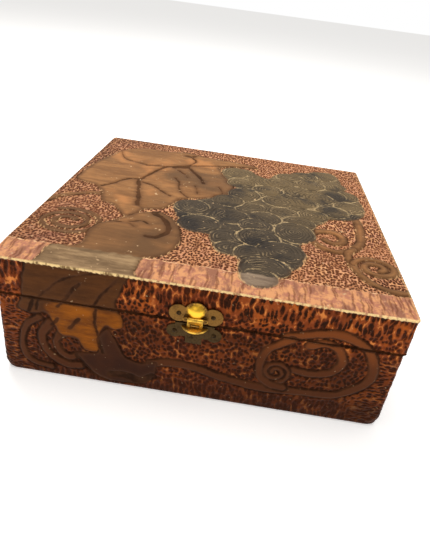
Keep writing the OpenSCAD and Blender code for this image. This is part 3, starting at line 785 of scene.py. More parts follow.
burntTones = {  # screen colours, 0 to 255, from the ground outwards to what is drawn on it
    "top": (196, 132, 92), "topDark": (150, 94, 62), "topMauve": (152, 98, 80),
    "side": (142, 66, 26), "sideDark": (98, 40, 18), "sideGlow": (196, 98, 30),
    "topCrestHighlight": (240, 178, 122), "topCrestHighlightDull": (206, 146, 112), "sideCrestHighlightDull": (150, 72, 36),
    "sideCrestHighlight": (214, 128, 62), "endCrestHighlight": (226, 164, 110), "topPit": (102, 56, 32),
    "sidePit": (60, 22, 8), "topPitDark": (70, 36, 22), "sidePitDark": (40, 15, 6),
    "topShaded": (80, 46, 30), "sideLow": (46, 18, 6), "foot": (60, 26, 12),
    "band": (222, 158, 110), "bandPink": (186, 124, 98), "bandMauve": (150, 100, 80),
    "bandStroke": (112, 62, 38), "bandLight": (246, 196, 150), "bandLip": (250, 200, 150),
    "leaf": (170, 120, 74), "leafDark": (134, 92, 56), "leafLight": (200, 136, 82),
    "leafPatch": (100, 74, 50), "leafEdge": (94, 62, 38), "leafFront": (92, 64, 42),
    "sideLeaf": (88, 50, 22), "sideLeafDark": (66, 36, 16), "sideTendril": (122, 62, 26),
    "sideLeafLowShade": (80, 38, 18), "ochre": (152, 84, 16), "ochreDark": (104, 54, 14),
    "dusk": (66, 32, 16), "duskDark": (46, 22, 16), "planedLeaf": (172, 142, 104),
    "planedLeafDark": (112, 88, 62), "grape": (80, 69, 56), "grapeOlive": (118, 98, 68),
    "grapeBlue": (44, 42, 42), "grapeRing": (34, 28, 22), "grapeRingLight": (164, 140, 104),
    "planedGrape": (160, 138, 116), "planedGrapeDark": (108, 90, 76), "grapeEdge": (186, 160, 118),
    "nearLine": (80, 48, 28), "line": (70, 42, 26), "lineDark": (34, 17, 10),
    "tick": (224, 176, 124), "paintedGlint": (222, 186, 142), "rimHighlight": (255, 220, 156),
    "inside": (112, 74, 46), "insideDark": (88, 56, 36),
}


def burntWood():
    s = Shop("burnt_wood_finish")
    c = {name: shade(*tone) for name, tone in burntTones.items()}
    relief, scorch, planed = s.field("relief"), s.field("scorch"), s.field("planed")
    rim, bare, side, around = s.field("rim"), s.field("bare"), s.field("side"), s.field("round")
    grapeIn, grapeRim = s.field("grape"), s.field("grapeRim")
    ochre, dusk = s.field("ochre"), s.field("dusk")
    x, y, z = [s.node("ShaderNodeSeparateXYZ", None, {0: s.place}, out=k) for k in range(3)]
    across = x * (1 - side) + around * side
    upward = y * (1 - side) + z * side
    cloud = s.noise(26, 3, 0.6)
    fine = s.noise(420, 2, 0.6)
    cut = s.noise(190, 3, 0.65, seed=10.0)
    patchy = s.noise(14, 3, 0.6, seed=12.0)
    sway, grit, nick = cloud - 0.5, fine - 0.5, cut - 0.5
    warp = s.node("ShaderNodeTexNoise", None, {"Vector": s.place, "Scale": 95.0, "Detail": 2.0},
                  out="Color")
    warp = s.node("ShaderNodeVectorMath", {"operation": "SUBTRACT"}, {0: warp, 1: (0.5, 0.5, 0.5)})
    warp = s.node("ShaderNodeVectorMath", {"operation": "SCALE"}, {0: warp, "Scale": 0.005})
    sheet = s.node("ShaderNodeCombineXYZ", None, {0: across, 1: upward})
    sheet = s.node("ShaderNodeVectorMath", {"operation": "ADD"}, {0: sheet, 1: warp})

    def pits(wide, tall, near, full, turn=0.0, jitter=0.9):  # 1 in each pit, and 1 on the crests between
        at = s.node("ShaderNodeMapping", None,
                    {"Vector": sheet, "Rotation": (0, 0, turn), "Scale": (1000 / wide, 1000 / tall, 1)})
        d = s.node("ShaderNodeTexVoronoi", {"voronoi_dimensions": "2D"},
                   {"Vector": at, "Scale": 1.0, "Randomness": jitter})
        return s.step(d, full, near), s.step(d, full * 0.72, full * 1.2)

    # ground of the top: round pits in front, slanting strokes behind
    dots = pits(2.0, 2.2, 0.18, 0.52, jitter=0.7)
    slant = pits(1.6, 3.4, 0.16, 0.52, 0.12, 0.8)
    front = s.step(y + sway * 0.16, -0.07, -0.02)
    # ground of the sides: tall scallops under the rim and above the foot, lying ones near the ends
    tall = pits(2.7, 9.0, 0.2, 0.6, jitter=0.75)
    flame = pits(2.6, 3.4, 0.14, 0.64)
    lying = pits(5.0, 1.9, 0.16, 0.6)
    high = s.step(z + sway * 0.02, 0.066, 0.072) + s.step(z + sway * 0.02, 0.016, 0.011)
    inner = x.maths("MINIMUM", x.maths("ABSOLUTE", x) - halfBase * mm,
                    y.maths("ABSOLUTE", y) - halfDeep * mm)
    ends = s.step(inner + sway * 0.03, -0.026, -0.016) * s.step(z, 0.056, 0.05)
    stroke = pits(2.6, 34.0, 0.05, 0.5)[0]
    pit, crest = [
        blend(blend(dots[k], slant[k], front), blend(blend(flame[k], tall[k], high), lying[k], ends), side)
        for k in range(2)]
    pit = blend(pit, stroke * 0.6, planed)

    spark = s.noise(150, 3, 0.6, seed=5.0)
    topMid = s.mix(c["top"], c["topDark"], s.step(cloud, 0.38, 0.62))
    topMid = s.mix(topMid, c["topMauve"], s.step(s.noise(34, 2, 0.5, seed=3.0), 0.52, 0.7) * 0.7)
    sideMid = s.mix(c["side"], c["sideDark"], s.step(cloud, 0.38, 0.62))
    sideMid = s.mix(sideMid, c["sideGlow"], s.step(s.noise(75, 3, 0.6, seed=7.0), 0.5, 0.68) * 0.6)
    # painted highlight: pale colours laid on the crests between the pits, brighter at the right end of the
    # sides
    topCrestHighlight = s.mix(c["topCrestHighlight"], c["topCrestHighlightDull"], s.step(spark, 0.4, 0.6))
    sideCrestHighlight = s.mix(c["sideCrestHighlightDull"], c["sideCrestHighlight"], s.step(spark, 0.45, 0.62))
    sideCrestHighlight = s.mix(sideCrestHighlight, c["endCrestHighlight"], ends * s.step(x, 0.09, 0.12) * s.step(cloud, 0.45, 0.6))
    hole = s.mix(c["topPit"], c["sidePit"], side)
    hole = s.mix(hole, s.mix(c["topPitDark"], c["sidePitDark"], side),
                 s.step(patchy + grit * 0.5, 0.42, 0.6))
    unrest = (grit * 0.9 + nick * 1.1) * (1.0 + side * 0.5)
    ground = s.mix(s.mix(topMid, sideMid, side), hole, s.step(pit * (1 - side * 0.2) + unrest, 0.05, 0.8))
    # the painted highlight goes on the crests in sparse spots
    ground = s.mix(ground, s.mix(topCrestHighlight, sideCrestHighlight, side),
                   s.step(crest + unrest * 0.6, 0.3, 0.9) * s.step(spark + sway * 0.5, 0.36, 0.54))
    shaded = s.step(x + sway * 0.04, -0.055, -0.085) * (1 - side)
    ground = s.mix(ground, c["topShaded"],
                   shaded * (0.16 + s.step(patchy + grit * 0.6, 0.4, 0.6) * 0.26))
    # painted shade: the sides darker below the split; the foot darker again
    lower = side * s.step(z + sway * 0.03, 0.064, 0.05)
    foot = side * s.step(z + sway * 0.02, 0.024, 0.01)
    ground = s.mix(ground, c["sideLow"], lower * (0.38 + s.step(patchy, 0.35, 0.65) * 0.4))
    ground = s.mix(ground, c["foot"], foot * 0.5)
    band = s.mix(c["band"], c["bandPink"], s.step(spark + grit * 0.5, 0.42, 0.6))
    blotch = s.noise(9, 3, 0.6, s.stretched(14, 5, 5), 8.0)
    band = s.mix(band, c["bandMauve"], s.step(blotch, 0.47, 0.6) * 0.9)
    band = s.mix(band, c["bandStroke"], s.step(stroke + unrest * 0.6, 0.2, 0.9) * 0.6)
    band = s.mix(band, c["bandLight"], s.step(crest + unrest, 0.9, 1.6) * 0.6)
    ground = s.mix(ground, band, planed)
    lip = s.step(planed, 0.02, 0.3) * s.step(planed, 0.98, 0.7)
    lip = lip * s.step(spark + grit * 0.4, 0.46, 0.56)
    ground = s.mix(ground, c["bandLip"], lip * 0.85)

    # leaves and tendrils: scorched wood, darker towards their outlines
    streak = s.noise(38, 5, 0.7, s.stretched(0.8, 3.5, 3.5), 9.0)
    wood = s.mix(c["leaf"], c["leafDark"], s.step(streak, 0.35, 0.65))
    wood = s.mix(wood, c["leafLight"], s.step(s.noise(22, 3, 0.55, seed=11.0), 0.52, 0.66) * 0.8)
    wood = s.mix(wood, c["leafPatch"], s.step(patchy, 0.5, 0.64) * 0.7)
    wood = s.mix(wood, c["leafEdge"], s.step(relief + sway * 6.0, -5.0, -0.5) * 0.45)
    wood = s.mix(wood, c["leafFront"], s.step(y + sway * 0.05, -0.035, -0.055)
                 * s.step(x, -0.01, -0.02) * 0.4)
    sideWood = s.mix(c["sideLeaf"], c["sideLeafDark"], s.step(streak, 0.35, 0.65))
    sideWood = s.mix(sideWood, c["sideTendril"], s.step(x, -0.04, -0.02) * s.step(z, 0.02, 0.06))
    # painted shade: the drawn figures on the sides darker below the split
    sideWood = s.mix(sideWood, c["sideLeafLowShade"], s.step(z + sway * 0.02, 0.058, 0.04) * 0.75)
    sideWood = s.mix(sideWood, s.mix(c["ochre"], c["ochreDark"], s.step(streak, 0.35, 0.65)), ochre)
    sideWood = s.mix(sideWood, s.mix(c["dusk"], c["duskDark"], s.step(cloud, 0.4, 0.6)), dusk * 0.9)
    bared = s.mix(c["planedLeaf"], c["planedLeafDark"], s.step(streak, 0.36, 0.66))
    wood = s.mix(wood, bared, planed * 0.9)
    figure = s.mix(wood, sideWood, side)

    # grapes: blue-black in front, olive behind, with ring-shaped strokes
    olive = s.step(x * 0.6 + y + sway * 0.05, -0.03, 0.07)
    grape = s.mix(c["grape"], c["grapeOlive"], olive)
    grape = s.mix(grape, c["grapeBlue"], s.step(s.noise(38, 3, 0.6, seed=2.0), 0.48, 0.64) * 0.8)
    spin = s.noise(48, 2, 0.5, seed=21.0)
    ring = s.node("ShaderNodeMath", {"operation": "SINE"}, {0: (grapeRim + cut * 4.0 + spin * 9.0) * 2.6})
    grape = s.mix(grape, c["grapeRing"],
                  s.step(ring + nick * 2.0, 0.0, 0.9) * s.step(streak, 0.34, 0.58) * 0.6)
    grape = s.mix(grape, c["grapeRingLight"], s.step(ring + cut, -0.15, -0.5)
                  * s.step(s.noise(85, 3, 0.65, seed=14.0) + grit * 0.3, 0.52, 0.62) * 0.75)
    bared = s.mix(c["planedGrape"], c["planedGrapeDark"], s.step(streak, 0.35, 0.65))
    grape = s.mix(grape, bared, planed * 0.85)
    edge = s.step(grapeRim + grit * 1.6 + nick * 1.2, 0.7, 0.1)
    grape = s.mix(grape, c["grapeEdge"], edge * s.step(s.noise(80, 2, 0.6, seed=6.0), 0.42, 0.56))
    figure = s.mix(figure, grape, s.step(grapeIn, -0.2, 0.3))

    colour = s.mix(figure, ground, s.step(relief, -0.3, 0.5))
    worn = s.noise(55, 3, 0.65, seed=15.0)
    colour = s.mix(colour, c["nearLine"], s.step(scorch, 3.5, 0.0) * s.step(relief, 0.0, -1.0) * 0.35)
    burn = s.step(scorch - side * 0.3 + grit * 1.2 + (worn - 0.5) * 2.0 + nick * 1.8, 0.6, -0.6)
    char = s.mix(c["line"], c["lineDark"], s.step(worn + (1 - side) * 0.06, 0.62, 0.4))
    colour = s.mix(colour, char, burn * (0.74 + side * 0.11))
    tick = s.noise(430, 1, 0.5, s.stretched(1.6, 0.5, 1), 22.0)
    tick = s.step(tick, 0.52, 0.6) * s.step(worn, 0.42, 0.55)
    colour = s.mix(colour, c["tick"], tick * s.step(relief.maths("ABSOLUTE", relief), 1.5, 0.2)
                   * (1 - side) * (1 - bare) * 0.75)
    # painted glints: small cream spots standing in for the sparkle of the varnish
    paintedGlint = s.step(s.noise(330, 2, 0.55, seed=17.0), 0.66, 0.72) * s.step(worn, 0.44, 0.56)
    colour = s.mix(colour, c["paintedGlint"], paintedGlint * (1 - side * 0.6) * 0.85)
    # painted highlight along the top's edges, broken by small notches
    notch = s.step(s.noise(420, 2, 0.5, s.stretched(1, 0.3, 0.3), 18.0) + worn * 0.4, 0.68, 0.84)
    colour = s.mix(colour, c["rimHighlight"], rim * (1 - notch * 0.8))
    plain = s.mix(c["inside"], c["insideDark"], s.step(streak, 0.35, 0.68))
    colour = s.mix(colour, plain, bare)
    hollow = s.step(relief, -0.3, 0.5) * (1 - bare) * (1 - rim)
    height = (1 - pit * hollow) + ring * s.step(grapeIn, 0.2, 0.8) * 0.12 + cut * 0.35 + fine * 0.16
    rough = 0.36 + pit * hollow * 0.2 + grit * 0.3 + bare * 0.25 + burn * 0.35
    normal = s.bump(height, 0.8, 0.0004)
    return s.finish(**{"Base Color": colour, "Roughness": rough, "Normal": normal,
                       "Specular IOR Level": 0.1, "Specular Tint": (1.0, 0.66, 0.36)})


burntFinish = burntWood()
makeBoards()
print("boards carved")
lidTop()
print("top carved")


class Bench(Shop):  # builds one Geometry Nodes tree with named inputs
    def __init__(self, name, inputs):
        self.tree = bpy.data.node_groups.new(name, "GeometryNodeTree")
        self.tree.is_modifier = True
        face = self.tree.interface
        face.new_socket("Geometry", in_out="INPUT", socket_type="NodeSocketGeometry")
        for label, kind in inputs.items():
            face.new_socket(label, in_out="INPUT", socket_type=kind)
        face.new_socket("Geometry", in_out="OUTPUT", socket_type="NodeSocketGeometry")
        self.given = self.tree.nodes.new("NodeGroupInput")

    def get(self, label):
        return Tap(self, self.given.outputs[label])

    def link(self, tap, made, key):
        self.tree.links.new(tap.socket, made.inputs[key])

    def close(self, geometry, finish):
        real = self.node("GeometryNodeRealizeInstances", None, {0: geometry})
        painted = self.node("GeometryNodeSetMaterial", None, {"Geometry": real, "Material": finish})
        out = self.tree.nodes.new("NodeGroupOutput")
        self.link(painted, out, 0)
        return self.tree


def runTree(piece, tree, values):  # the tree's result as a plain mesh in the same object
    modifier = piece.modifiers.new(tree.name, "NODES")
    modifier.node_group = tree
    for item in tree.interface.items_tree:
        if item.in_out == "INPUT" and item.name in values:
            modifier[item.identifier] = values[item.name]
    settled(piece)


def merged(node):  # a CAD node's mesh with its doubles merged and its flats whole
    bm = bmesh.new()
    bm.from_mesh(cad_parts[node].data)
    bmesh.ops.remove_doubles(bm, verts=bm.verts, dist=1e-6)
    bmesh.ops.dissolve_limit(bm, angle_limit=math.radians(1), verts=bm.verts, edges=bm.edges)
    return bm


def islands(node):  # corners of each separate solid in a node, in order
    bm = merged(node)
    left, found = set(bm.verts), []
    while left:
        stack, spots = [left.pop()], []
        while stack:
            vert = stack.pop()
            spots.append(tuple(vert.co))
            for edge in vert.link_edges:
                other = edge.other_vert(vert)
                if other in left:
                    left.remove(other)
                    stack.append(other)
        spots = np.array(spots)
        found.append((tuple(np.round(spots.min(0), 7)), tuple(np.round(spots.max(0), 7))))
    bm.free()
    return sorted(found)


metal = {
    "bevel": 0.22,       # worn edges of the stamped brass, mm
    "hingeBevel": 0.12,
    "weld": 0.01,        # corners nearer than this are made one, mm
    "domeDown": 6.0,     # the dome's middle under the plate's top, mm
    "noseDown": 0.5,     # the nose's middle under the keeper's top, mm
    "domeHighlight": (3.5, 8.5),  # painted highlight bright to here, and dull from here, mm
    # the keeper's nose: worn brass and painted highlight, bright to here and dull from here, mm
    "noseWearAndHighlight": (1.6, 4.5),
}


def metalFinish(name, bright, dull, dirt, worn, wearAndHighlightSpot):
    s = Shop(name)
    cloud = s.noise(170, 4, 0.6, seed=1.0)
    small = s.noise(900, 3, 0.6, seed=2.0)
    brushed = s.noise(700, 2, 0.5, s.stretched(0.25, 1, 1), 3.0)
    amount = s.step(cloud + (small - 0.5) * 0.4, worn - 0.12, worn + 0.12)
    if wearAndHighlightSpot:
        spot, (near, far) = wearAndHighlightSpot
        away = s.node("ShaderNodeVectorMath", {"operation": "DISTANCE"}, {0: s.place, 1: spot}, out="Value")
        # near the spot the bright colour is painted: highlight on the catch's dome, worn brass with
        # highlight on the keeper's nose
        amount = s.step(amount * 0.35 + s.step(away, near * mm, far * mm), 0.1, 0.9)
        dull = s.mix(dull, dirt, s.step(cloud + (small - 0.5) * 0.7, 0.42, 0.7) * 0.5)
    tone = s.mix(bright, dull, amount)
    tone = s.mix(tone, dirt, s.step(s.noise(120, 4, 0.65, seed=4.0) + (small - 0.5) * 0.4, 0.6, 0.8) * 0.8)
    rough = 0.26 + amount * 0.2 + small * 0.12
    normal = s.bump(brushed * 0.4 + cloud * 0.5 + small * 0.2, 0.35, 0.0003)
    return s.finish(**{"Base Color": tone, "Metallic": 1.0, "Roughness": rough, "Normal": normal})


def workedMetal(node, body, finish, bevel):
    piece = newPiece("stamped_" + node, [], finish=finish)
    bm = merged(node)
    bm.to_mesh(piece.data)
    bm.free()
    edge = piece.modifiers.new("edges", "BEVEL")
    edge.width = bevel * mm
    edge.segments = 2
    edge.limit_method = "ANGLE"
    edge.angle_limit = math.radians(35)
    edge.harden_normals = False
    settled(piece)
    bm = bmesh.new()
    bm.from_mesh(piece.data)
    bmesh.ops.remove_doubles(bm, verts=bm.verts, dist=metal["weld"] * mm)
    bm.to_mesh(piece.data)
    bm.free()
    smoothed(piece, 38)
    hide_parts(node)
    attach(piece, body)


def nailTree():
    b = Bench("round_nails", {"Head radius": "NodeSocketFloat", "Head height": "NodeSocketFloat",
                              "Shank radius": "NodeSocketFloat", "Shank length": "NodeSocketFloat",
                              "Wander": "NodeSocketFloat", "Finish": "NodeSocketMaterial"})
    ball = b.node("GeometryNodeMeshUVSphere", None, {"Segments": 20, "Rings": 10, "Radius": 1.0})
    spot = b.node("GeometryNodeInputPosition")
    x, y, z = [b.node("ShaderNodeSeparateXYZ", None, {0: spot}, out=k) for k in range(3)]
    r, h = b.get("Head radius"), b.get("Head height")
    cap = b.node("ShaderNodeCombineXYZ", None, {0: x * r, 1: y * r, 2: z.maths("MAXIMUM", z, 0.0) * h})
    head = b.node("GeometryNodeSetPosition", None, {"Geometry": ball, "Position": cap})
    rod = b.node("GeometryNodeMeshCylinder", None,
                 {"Vertices": 16, "Radius": b.get("Shank radius"), "Depth": b.get("Shank length")})
    low = b.node("ShaderNodeCombineXYZ", None, {2: b.get("Shank length") * -0.5 + h * 0.4})
    rod = b.node("GeometryNodeTransform", None, {"Geometry": rod, "Translation": low})
    both = b.tree.nodes.new("GeometryNodeJoinGeometry")
    b.link(rod, both, 0)
    b.link(head, both, 0)
    aim = b.node("GeometryNodeInputNamedAttribute", {"data_type": "FLOAT_VECTOR"}, {"Name": "aim"})
    turn = b.node("FunctionNodeAlignRotationToVector", {"axis": "Z"}, {"Vector": aim})
    lean = b.node("FunctionNodeRandomValue", {"data_type": "FLOAT_VECTOR"},
                  {0: (-1.0, -1.0, -3.0), 1: (1.0, 1.0, 3.0), "Seed": 7})
    lean = b.node("ShaderNodeVectorMath", {"operation": "SCALE"}, {0: lean, "Scale": b.get("Wander")})
    lean = b.node("FunctionNodeEulerToRotation", None, {0: lean})
    turn = b.node("FunctionNodeRotateRotation", {"rotation_space": "LOCAL"},
                  {"Rotation": turn, "Rotate By": lean})
    placed = b.node("GeometryNodeInstanceOnPoints", None,
                    {"Points": b.get("Geometry"), "Instance": Tap(b, both.outputs[0]), "Rotation": turn})
    return b.close(placed, b.get("Finish"))


nails = {                 # millimetres
    "headRadius": 1.5,
    "headHeight": 0.7,
    "shankRadius": 0.62,
    "wander": 0.03,       # how unevenly they were driven, radians
    "flushRadius": 1.0,   # the headless nails of the underside
    "flushHeight": 0.12,
    "shortOf": 1.5,       # how far a shank ends before its hole's end
}


def driveNails(node, body, tree, way, finish, flush=False):  # way points out of the wood
    radius = nails["flushRadius" if flush else "headRadius"] * mm
    height = nails["flushHeight" if flush else "headHeight"] * mm
    way = np.array(way, float)
    axis = int(np.argmax(np.abs(way)))
    spots, depth = [], 0.0
    for low, high in islands(node):
        low, high = np.array(low), np.array(high)
        spot = (low + high) / 2
        face = high[axis] if way[axis] > 0 else low[axis]
        spot[axis] = face - way[axis] * height
        depth = high[axis] - low[axis]
        spots.append(spot)
    piece = newPiece("driven_" + node, spots)
    aim = piece.data.attributes.new("aim", "FLOAT_VECTOR", "POINT")
    aim.data.foreach_set("vector", np.tile(way, len(spots)))
    runTree(piece, tree, {"Head radius": radius, "Head height": height,
                          "Shank radius": nails["shankRadius"] * mm,
                          "Shank length": float(depth - nails["shortOf"] * mm),
                          "Wander": 0.0 if flush else nails["wander"], "Finish": finish})
    smoothed(piece, 50)
    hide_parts(node)
    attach(piece, body)


brass = {  # each finish's bright, dull and dirty colour, and how much of it is dull; round one spot the catch's bright colour is painted highlight, the keeper's worn brass and painted highlight
    "catch": ((255, 200, 64), (132, 96, 48), (66, 46, 26), 0.55),
    "hasp": ((240, 190, 78), (150, 116, 58), (84, 62, 34), 0.52),
    "keeper": ((214, 172, 96), (78, 60, 36), (34, 23, 14), 0.55),
    "hinge": ((204, 160, 80), (140, 108, 56), (66, 46, 26), 0.5),
    # nails: aged metal, made darker still as painted shade of the dimples they sit in
    "nail": ((78, 58, 34), (40, 29, 18), (20, 14, 10), 0.45),
}


def spotOn(node, down):  # in the middle of a plate's face, so far under its top
    low, high = boxOf(node)
    return (low[0] + high[0]) / 2 * mm, low[1] * mm, (high[2] - down) * mm


def makeMetal():
    # the dome's painted highlight, and the keeper nose's worn brass with painted highlight
    wearAndHighlightSpot = {"catch": (spotOn("catch_plate", metal["domeDown"]), metal["domeHighlight"]),
              "keeper": (spotOn("catch_keeper", metal["noseDown"]), metal["noseWearAndHighlight"])}
    made = {}
    for name, (bright, dull, dirt, worn) in brass.items():
        title = "nail_finish" if name == "nail" else name + "_brass_finish"
        made[name] = metalFinish(title, shade(*bright), shade(*dull), shade(*dirt), worn, wearAndHighlightSpot.get(name))
    bevel, fine = metal["bevel"], metal["hingeBevel"]
    workedMetal("catch_plate", "lid", made["catch"], bevel)
    workedMetal("catch_hasp", "hasp", made["hasp"], bevel)
    workedMetal("catch_hasp_pin", "lid", made["hasp"], fine)
    workedMetal("catch_keeper", "base", made["keeper"], bevel)
    for side in ("left", "right"):
        workedMetal(side + "_hinge_base_leaf", "base", made["hinge"], fine)
        workedMetal(side + "_hinge_lid_leaf", "lid", made["hinge"], fine)
        workedMetal(side + "_hinge_pin", "base", made["hinge"], fine)
    tree = nailTree()
    driveNails("catch_plate_nails", "lid", tree, (0, -1, 0), made["nail"])
    driveNails("keeper_nails", "base", tree, (0, -1, 0), made["nail"])
    driveNails("hinge_base_nails", "base", tree, (0, 1, 0), made["nail"])
    driveNails("hinge_lid_nails", "lid", tree, (0, 1, 0), made["nail"])
    driveNails("bottom_nails", "base", tree, (0, 0, -1), made["nail"], flush=True)


lining = {               # millimetres
    "padStep": 4.0,      # spacing of the cushions' cloth
    "boardStep": 2.5,
    "padSoft": 5.0,      # how far in from its edge a cushion has its full thickness
    "boardSoft": 1.4,
    "padR": 6.0,
    "crown": 0.25,       # share of a cushion's thickness that is its crown
    "unrest": 0.25,
    "boardDip": 0.12,    # unevenness of the velvet on the boards
    "start": 0.72,       # share of the thickness before the cloth swells
    "pressure": 4.0,
    "cap": 2.2,          # the furthest the cloth may move
    "frames": 20,
    "pipingR": 1.1,
    "pipingStep": 1.1,
    "pipingUp": 0.52,    # its height, as a share of the cushion's
    "pipingPoints": 480,
    "pipingTwist": 900.0,  # radians of twist in each metre
    "velvet": ((122, 20, 30), (98, 12, 22), (140, 42, 46), (54, 5, 12)),  # lit, shaded, worn, painted shade between hairs
    "sheen": (190, 60, 70),
    "wood": ((170, 124, 78), (124, 84, 50), (84, 54, 32), (96, 66, 42)),  # light, dark, pores, stains
}


def padGrid(wide, deep, thick, r, step, soft, bulge):  # a pad's corners, its top's first, and its faces
    xs, ys = (np.linspace(-v / 2, v / 2, max(3, round(v / step) + 1)) for v in (wide, deep))
    for v, half in ((xs, wide / 2), (ys, deep / 2)):
        v[1], v[-2] = -half + soft * 0.3, half - soft * 0.3
    x, y = [a.ravel() for a in np.meshgrid(xs, ys)]
    px, py, gap = cornered(x, y, wide / 2, deep / 2, r)
    full = np.sqrt(np.clip(1 - (1 - np.clip(gap / soft, 0, 1)) ** 2, 0, 1))
    crown = bulge * (1 - (2 * x / wide) ** 2) * (1 - (2 * y / deep) ** 2)
    top = thick * (0.45 + 0.55 * full * (1 - bulge) + crown * 0.55 * full)
    foot = thick * 0.35 * (1 - full)
    n = len(x)
    up, loop = gridFaces(len(xs), len(ys))
    rim = np.stack([loop + n, np.roll(loop, -1) + n, np.roll(loop, -1), loop], 1)
    faces = np.vstack([up, up[:, ::-1] + n, rim]).tolist()
    verts = np.vstack([np.stack([px, py, top], 1), np.stack([px, py, foot], 1)])
    return verts, faces, n


def swell(piece, pinned, cap):  # lets air pressure fill a pad, with its glued side held
    group = piece.vertex_groups.new(name="glued")
    group.add([int(i) for i in pinned], 1.0, "REPLACE")
    start = np.array([v.co for v in piece.data.vertices])
    cloth = piece.modifiers.new("cloth", "CLOTH")
    cloth.settings.use_pressure = True
    cloth.settings.uniform_pressure_force = lining["pressure"]
    cloth.settings.vertex_group_mass = "glued"
    cloth.settings.mass = 0.15
    cloth.settings.bending_stiffness = 0.3
    cloth.settings.effector_weights.gravity = 0
    cloth.point_cache.frame_end = lining["frames"]
    scene = bpy.context.scene
    for f in range(1, lining["frames"] + 1):
        scene.frame_set(f)
    settled(piece)
    end = np.array([v.co for v in piece.data.vertices])
    move = end - start
    far = np.linalg.norm(move, axis=1)
    move *= np.minimum(1, cap * mm / np.maximum(far, 1e-12))[:, None]
    piece.data.vertices.foreach_set("co", (start + move).astype(np.float32).ravel())
    piece.vertex_groups.clear()
    scene.frame_set(1)


def velvetFinish():
    s = Shop("velvet_finish")
    nap = s.noise(16, 2, 0.5, s.stretched(1, 1.6, 1), 1.0)
    pile = s.noise(1500, 2, 0.7, seed=2.0)
    brushed = s.noise(60, 3, 0.6, s.stretched(1, 3, 1), 4.0)
    worn = s.noise(9, 3, 0.55, seed=3.0)
    lit, shaded, bald, between = [shade(*tone) for tone in lining["velvet"]]
    tone = s.mix(lit, shaded, s.step(nap + (brushed - 0.5) * 0.4, 0.38, 0.62))
    tone = s.mix(tone, bald, s.step(worn, 0.58, 0.78) * 0.4)
    # painted shade between the hairs of the pile
    tone = s.mix(tone, between, s.step(pile, 0.6, 0.35) * 0.5)
    normal = s.bump(pile + nap * 0.4 + brushed * 0.5, 0.5, 0.0006)
    return s.finish(**{"Base Color": tone, "Roughness": 0.75 + pile * 0.2, "Normal": normal,
                       "Sheen Weight": 0.3, "Sheen Roughness": 0.4, "Sheen Tint": shade(*lining["sheen"]),
                       "Specular IOR Level": 0.1})


def makeCushion(node, body, up, finish):
    low, high = boxOf(node)
    wide, deep, thick = high - low
    verts, faces, n = padGrid(wide, deep, thick * lining["start"], lining["padR"], lining["padStep"],
                              lining["padSoft"], lining["crown"])
    verts[:n, 2] += lining["unrest"] * drift(verts[:n, 0] + 200, verts[:n, 1] + 200, 22, 71)
    piece = newPiece("padded_" + node, (verts * mm).tolist(), faces=faces, finish=finish)
    swell(piece, range(n, 2 * n), lining["cap"])
    co = np.array([v.co for v in piece.data.vertices]) / mm
    half = np.array([wide / 2, deep / 2, thick])  # it stays in its own space
    co = np.clip(co, -half * [1, 1, 0], half)
    if up < 0:
        co[:, 2] = -co[:, 2]
    co += [(low[0] + high[0]) / 2, (low[1] + high[1]) / 2, low[2] if up > 0 else high[2]]
    piece.data.vertices.foreach_set("co", (co * mm).astype(np.float32).ravel())
    if up < 0:
        piece.data.flip_normals()
    subdivided(piece)
    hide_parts(node)
    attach(piece, body)


def makeLiningBoard(node, finish):  # velvet glued over a thin board, its soft face towards the middle
    low, high = boxOf(node)
    size = high - low
    middle = (low + high) / 2
    thin = int(np.argmin(size))
    along = 1 - thin
    verts, faces, n = padGrid(size[along], size[2], size[thin], lining["boardSoft"], lining["boardStep"],
                              lining["boardSoft"], 0.0)
    dip = lining["boardDip"] * (1 + drift(verts[:n, 0] + 300, verts[:n, 1] + 300, 13, 77))
    verts[:n, 2] -= dip * ease(0.5, 0.9, verts[:n, 2] / size[thin])
    out = np.zeros_like(verts)
    inward = -np.sign(middle[thin])
    out[:, along] = verts[:, 0] + middle[along]
    out[:, 2] = verts[:, 1] + middle[2]
    out[:, thin] = (high if inward < 0 else low)[thin] + inward * verts[:, 2]
    piece = newPiece("covered_" + node, (out * mm).tolist(), faces=faces, finish=finish)
    bm = bmesh.new()
    bm.from_mesh(piece.data)
    bmesh.ops.recalc_face_normals(bm, faces=bm.faces)
    bm.to_mesh(piece.data)
    bm.free()
    subdivided(piece)
    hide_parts(node)
    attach(piece, "base")


def pipingTree():
    b = Bench("twisted_piping", {"Radius": "NodeSocketFloat", "Step": "NodeSocketFloat",
                                 "Twist": "NodeSocketFloat", "Finish": "NodeSocketMaterial"})
    line = b.node("GeometryNodeMeshToCurve", None, {0: b.get("Geometry")})
    line = b.node("GeometryNodeResampleCurve", {"mode": "LENGTH"}, {"Curve": line, "Length": b.get("Step")})
    far = b.node("GeometryNodeSplineParameter", out="Length")
    line = b.node("GeometryNodeSetCurveTilt", None, {"Curve": line, "Tilt": far * b.get("Twist")})
    star = b.node("GeometryNodeCurveStar", None,
                  {"Points": 3, "Inner Radius": b.get("Radius") * 0.62, "Outer Radius": b.get("Radius")})
    tube = b.node("GeometryNodeCurveToMesh", None, {"Curve": line, "Profile Curve": star})
    return b.close(tube, b.get("Finish"))


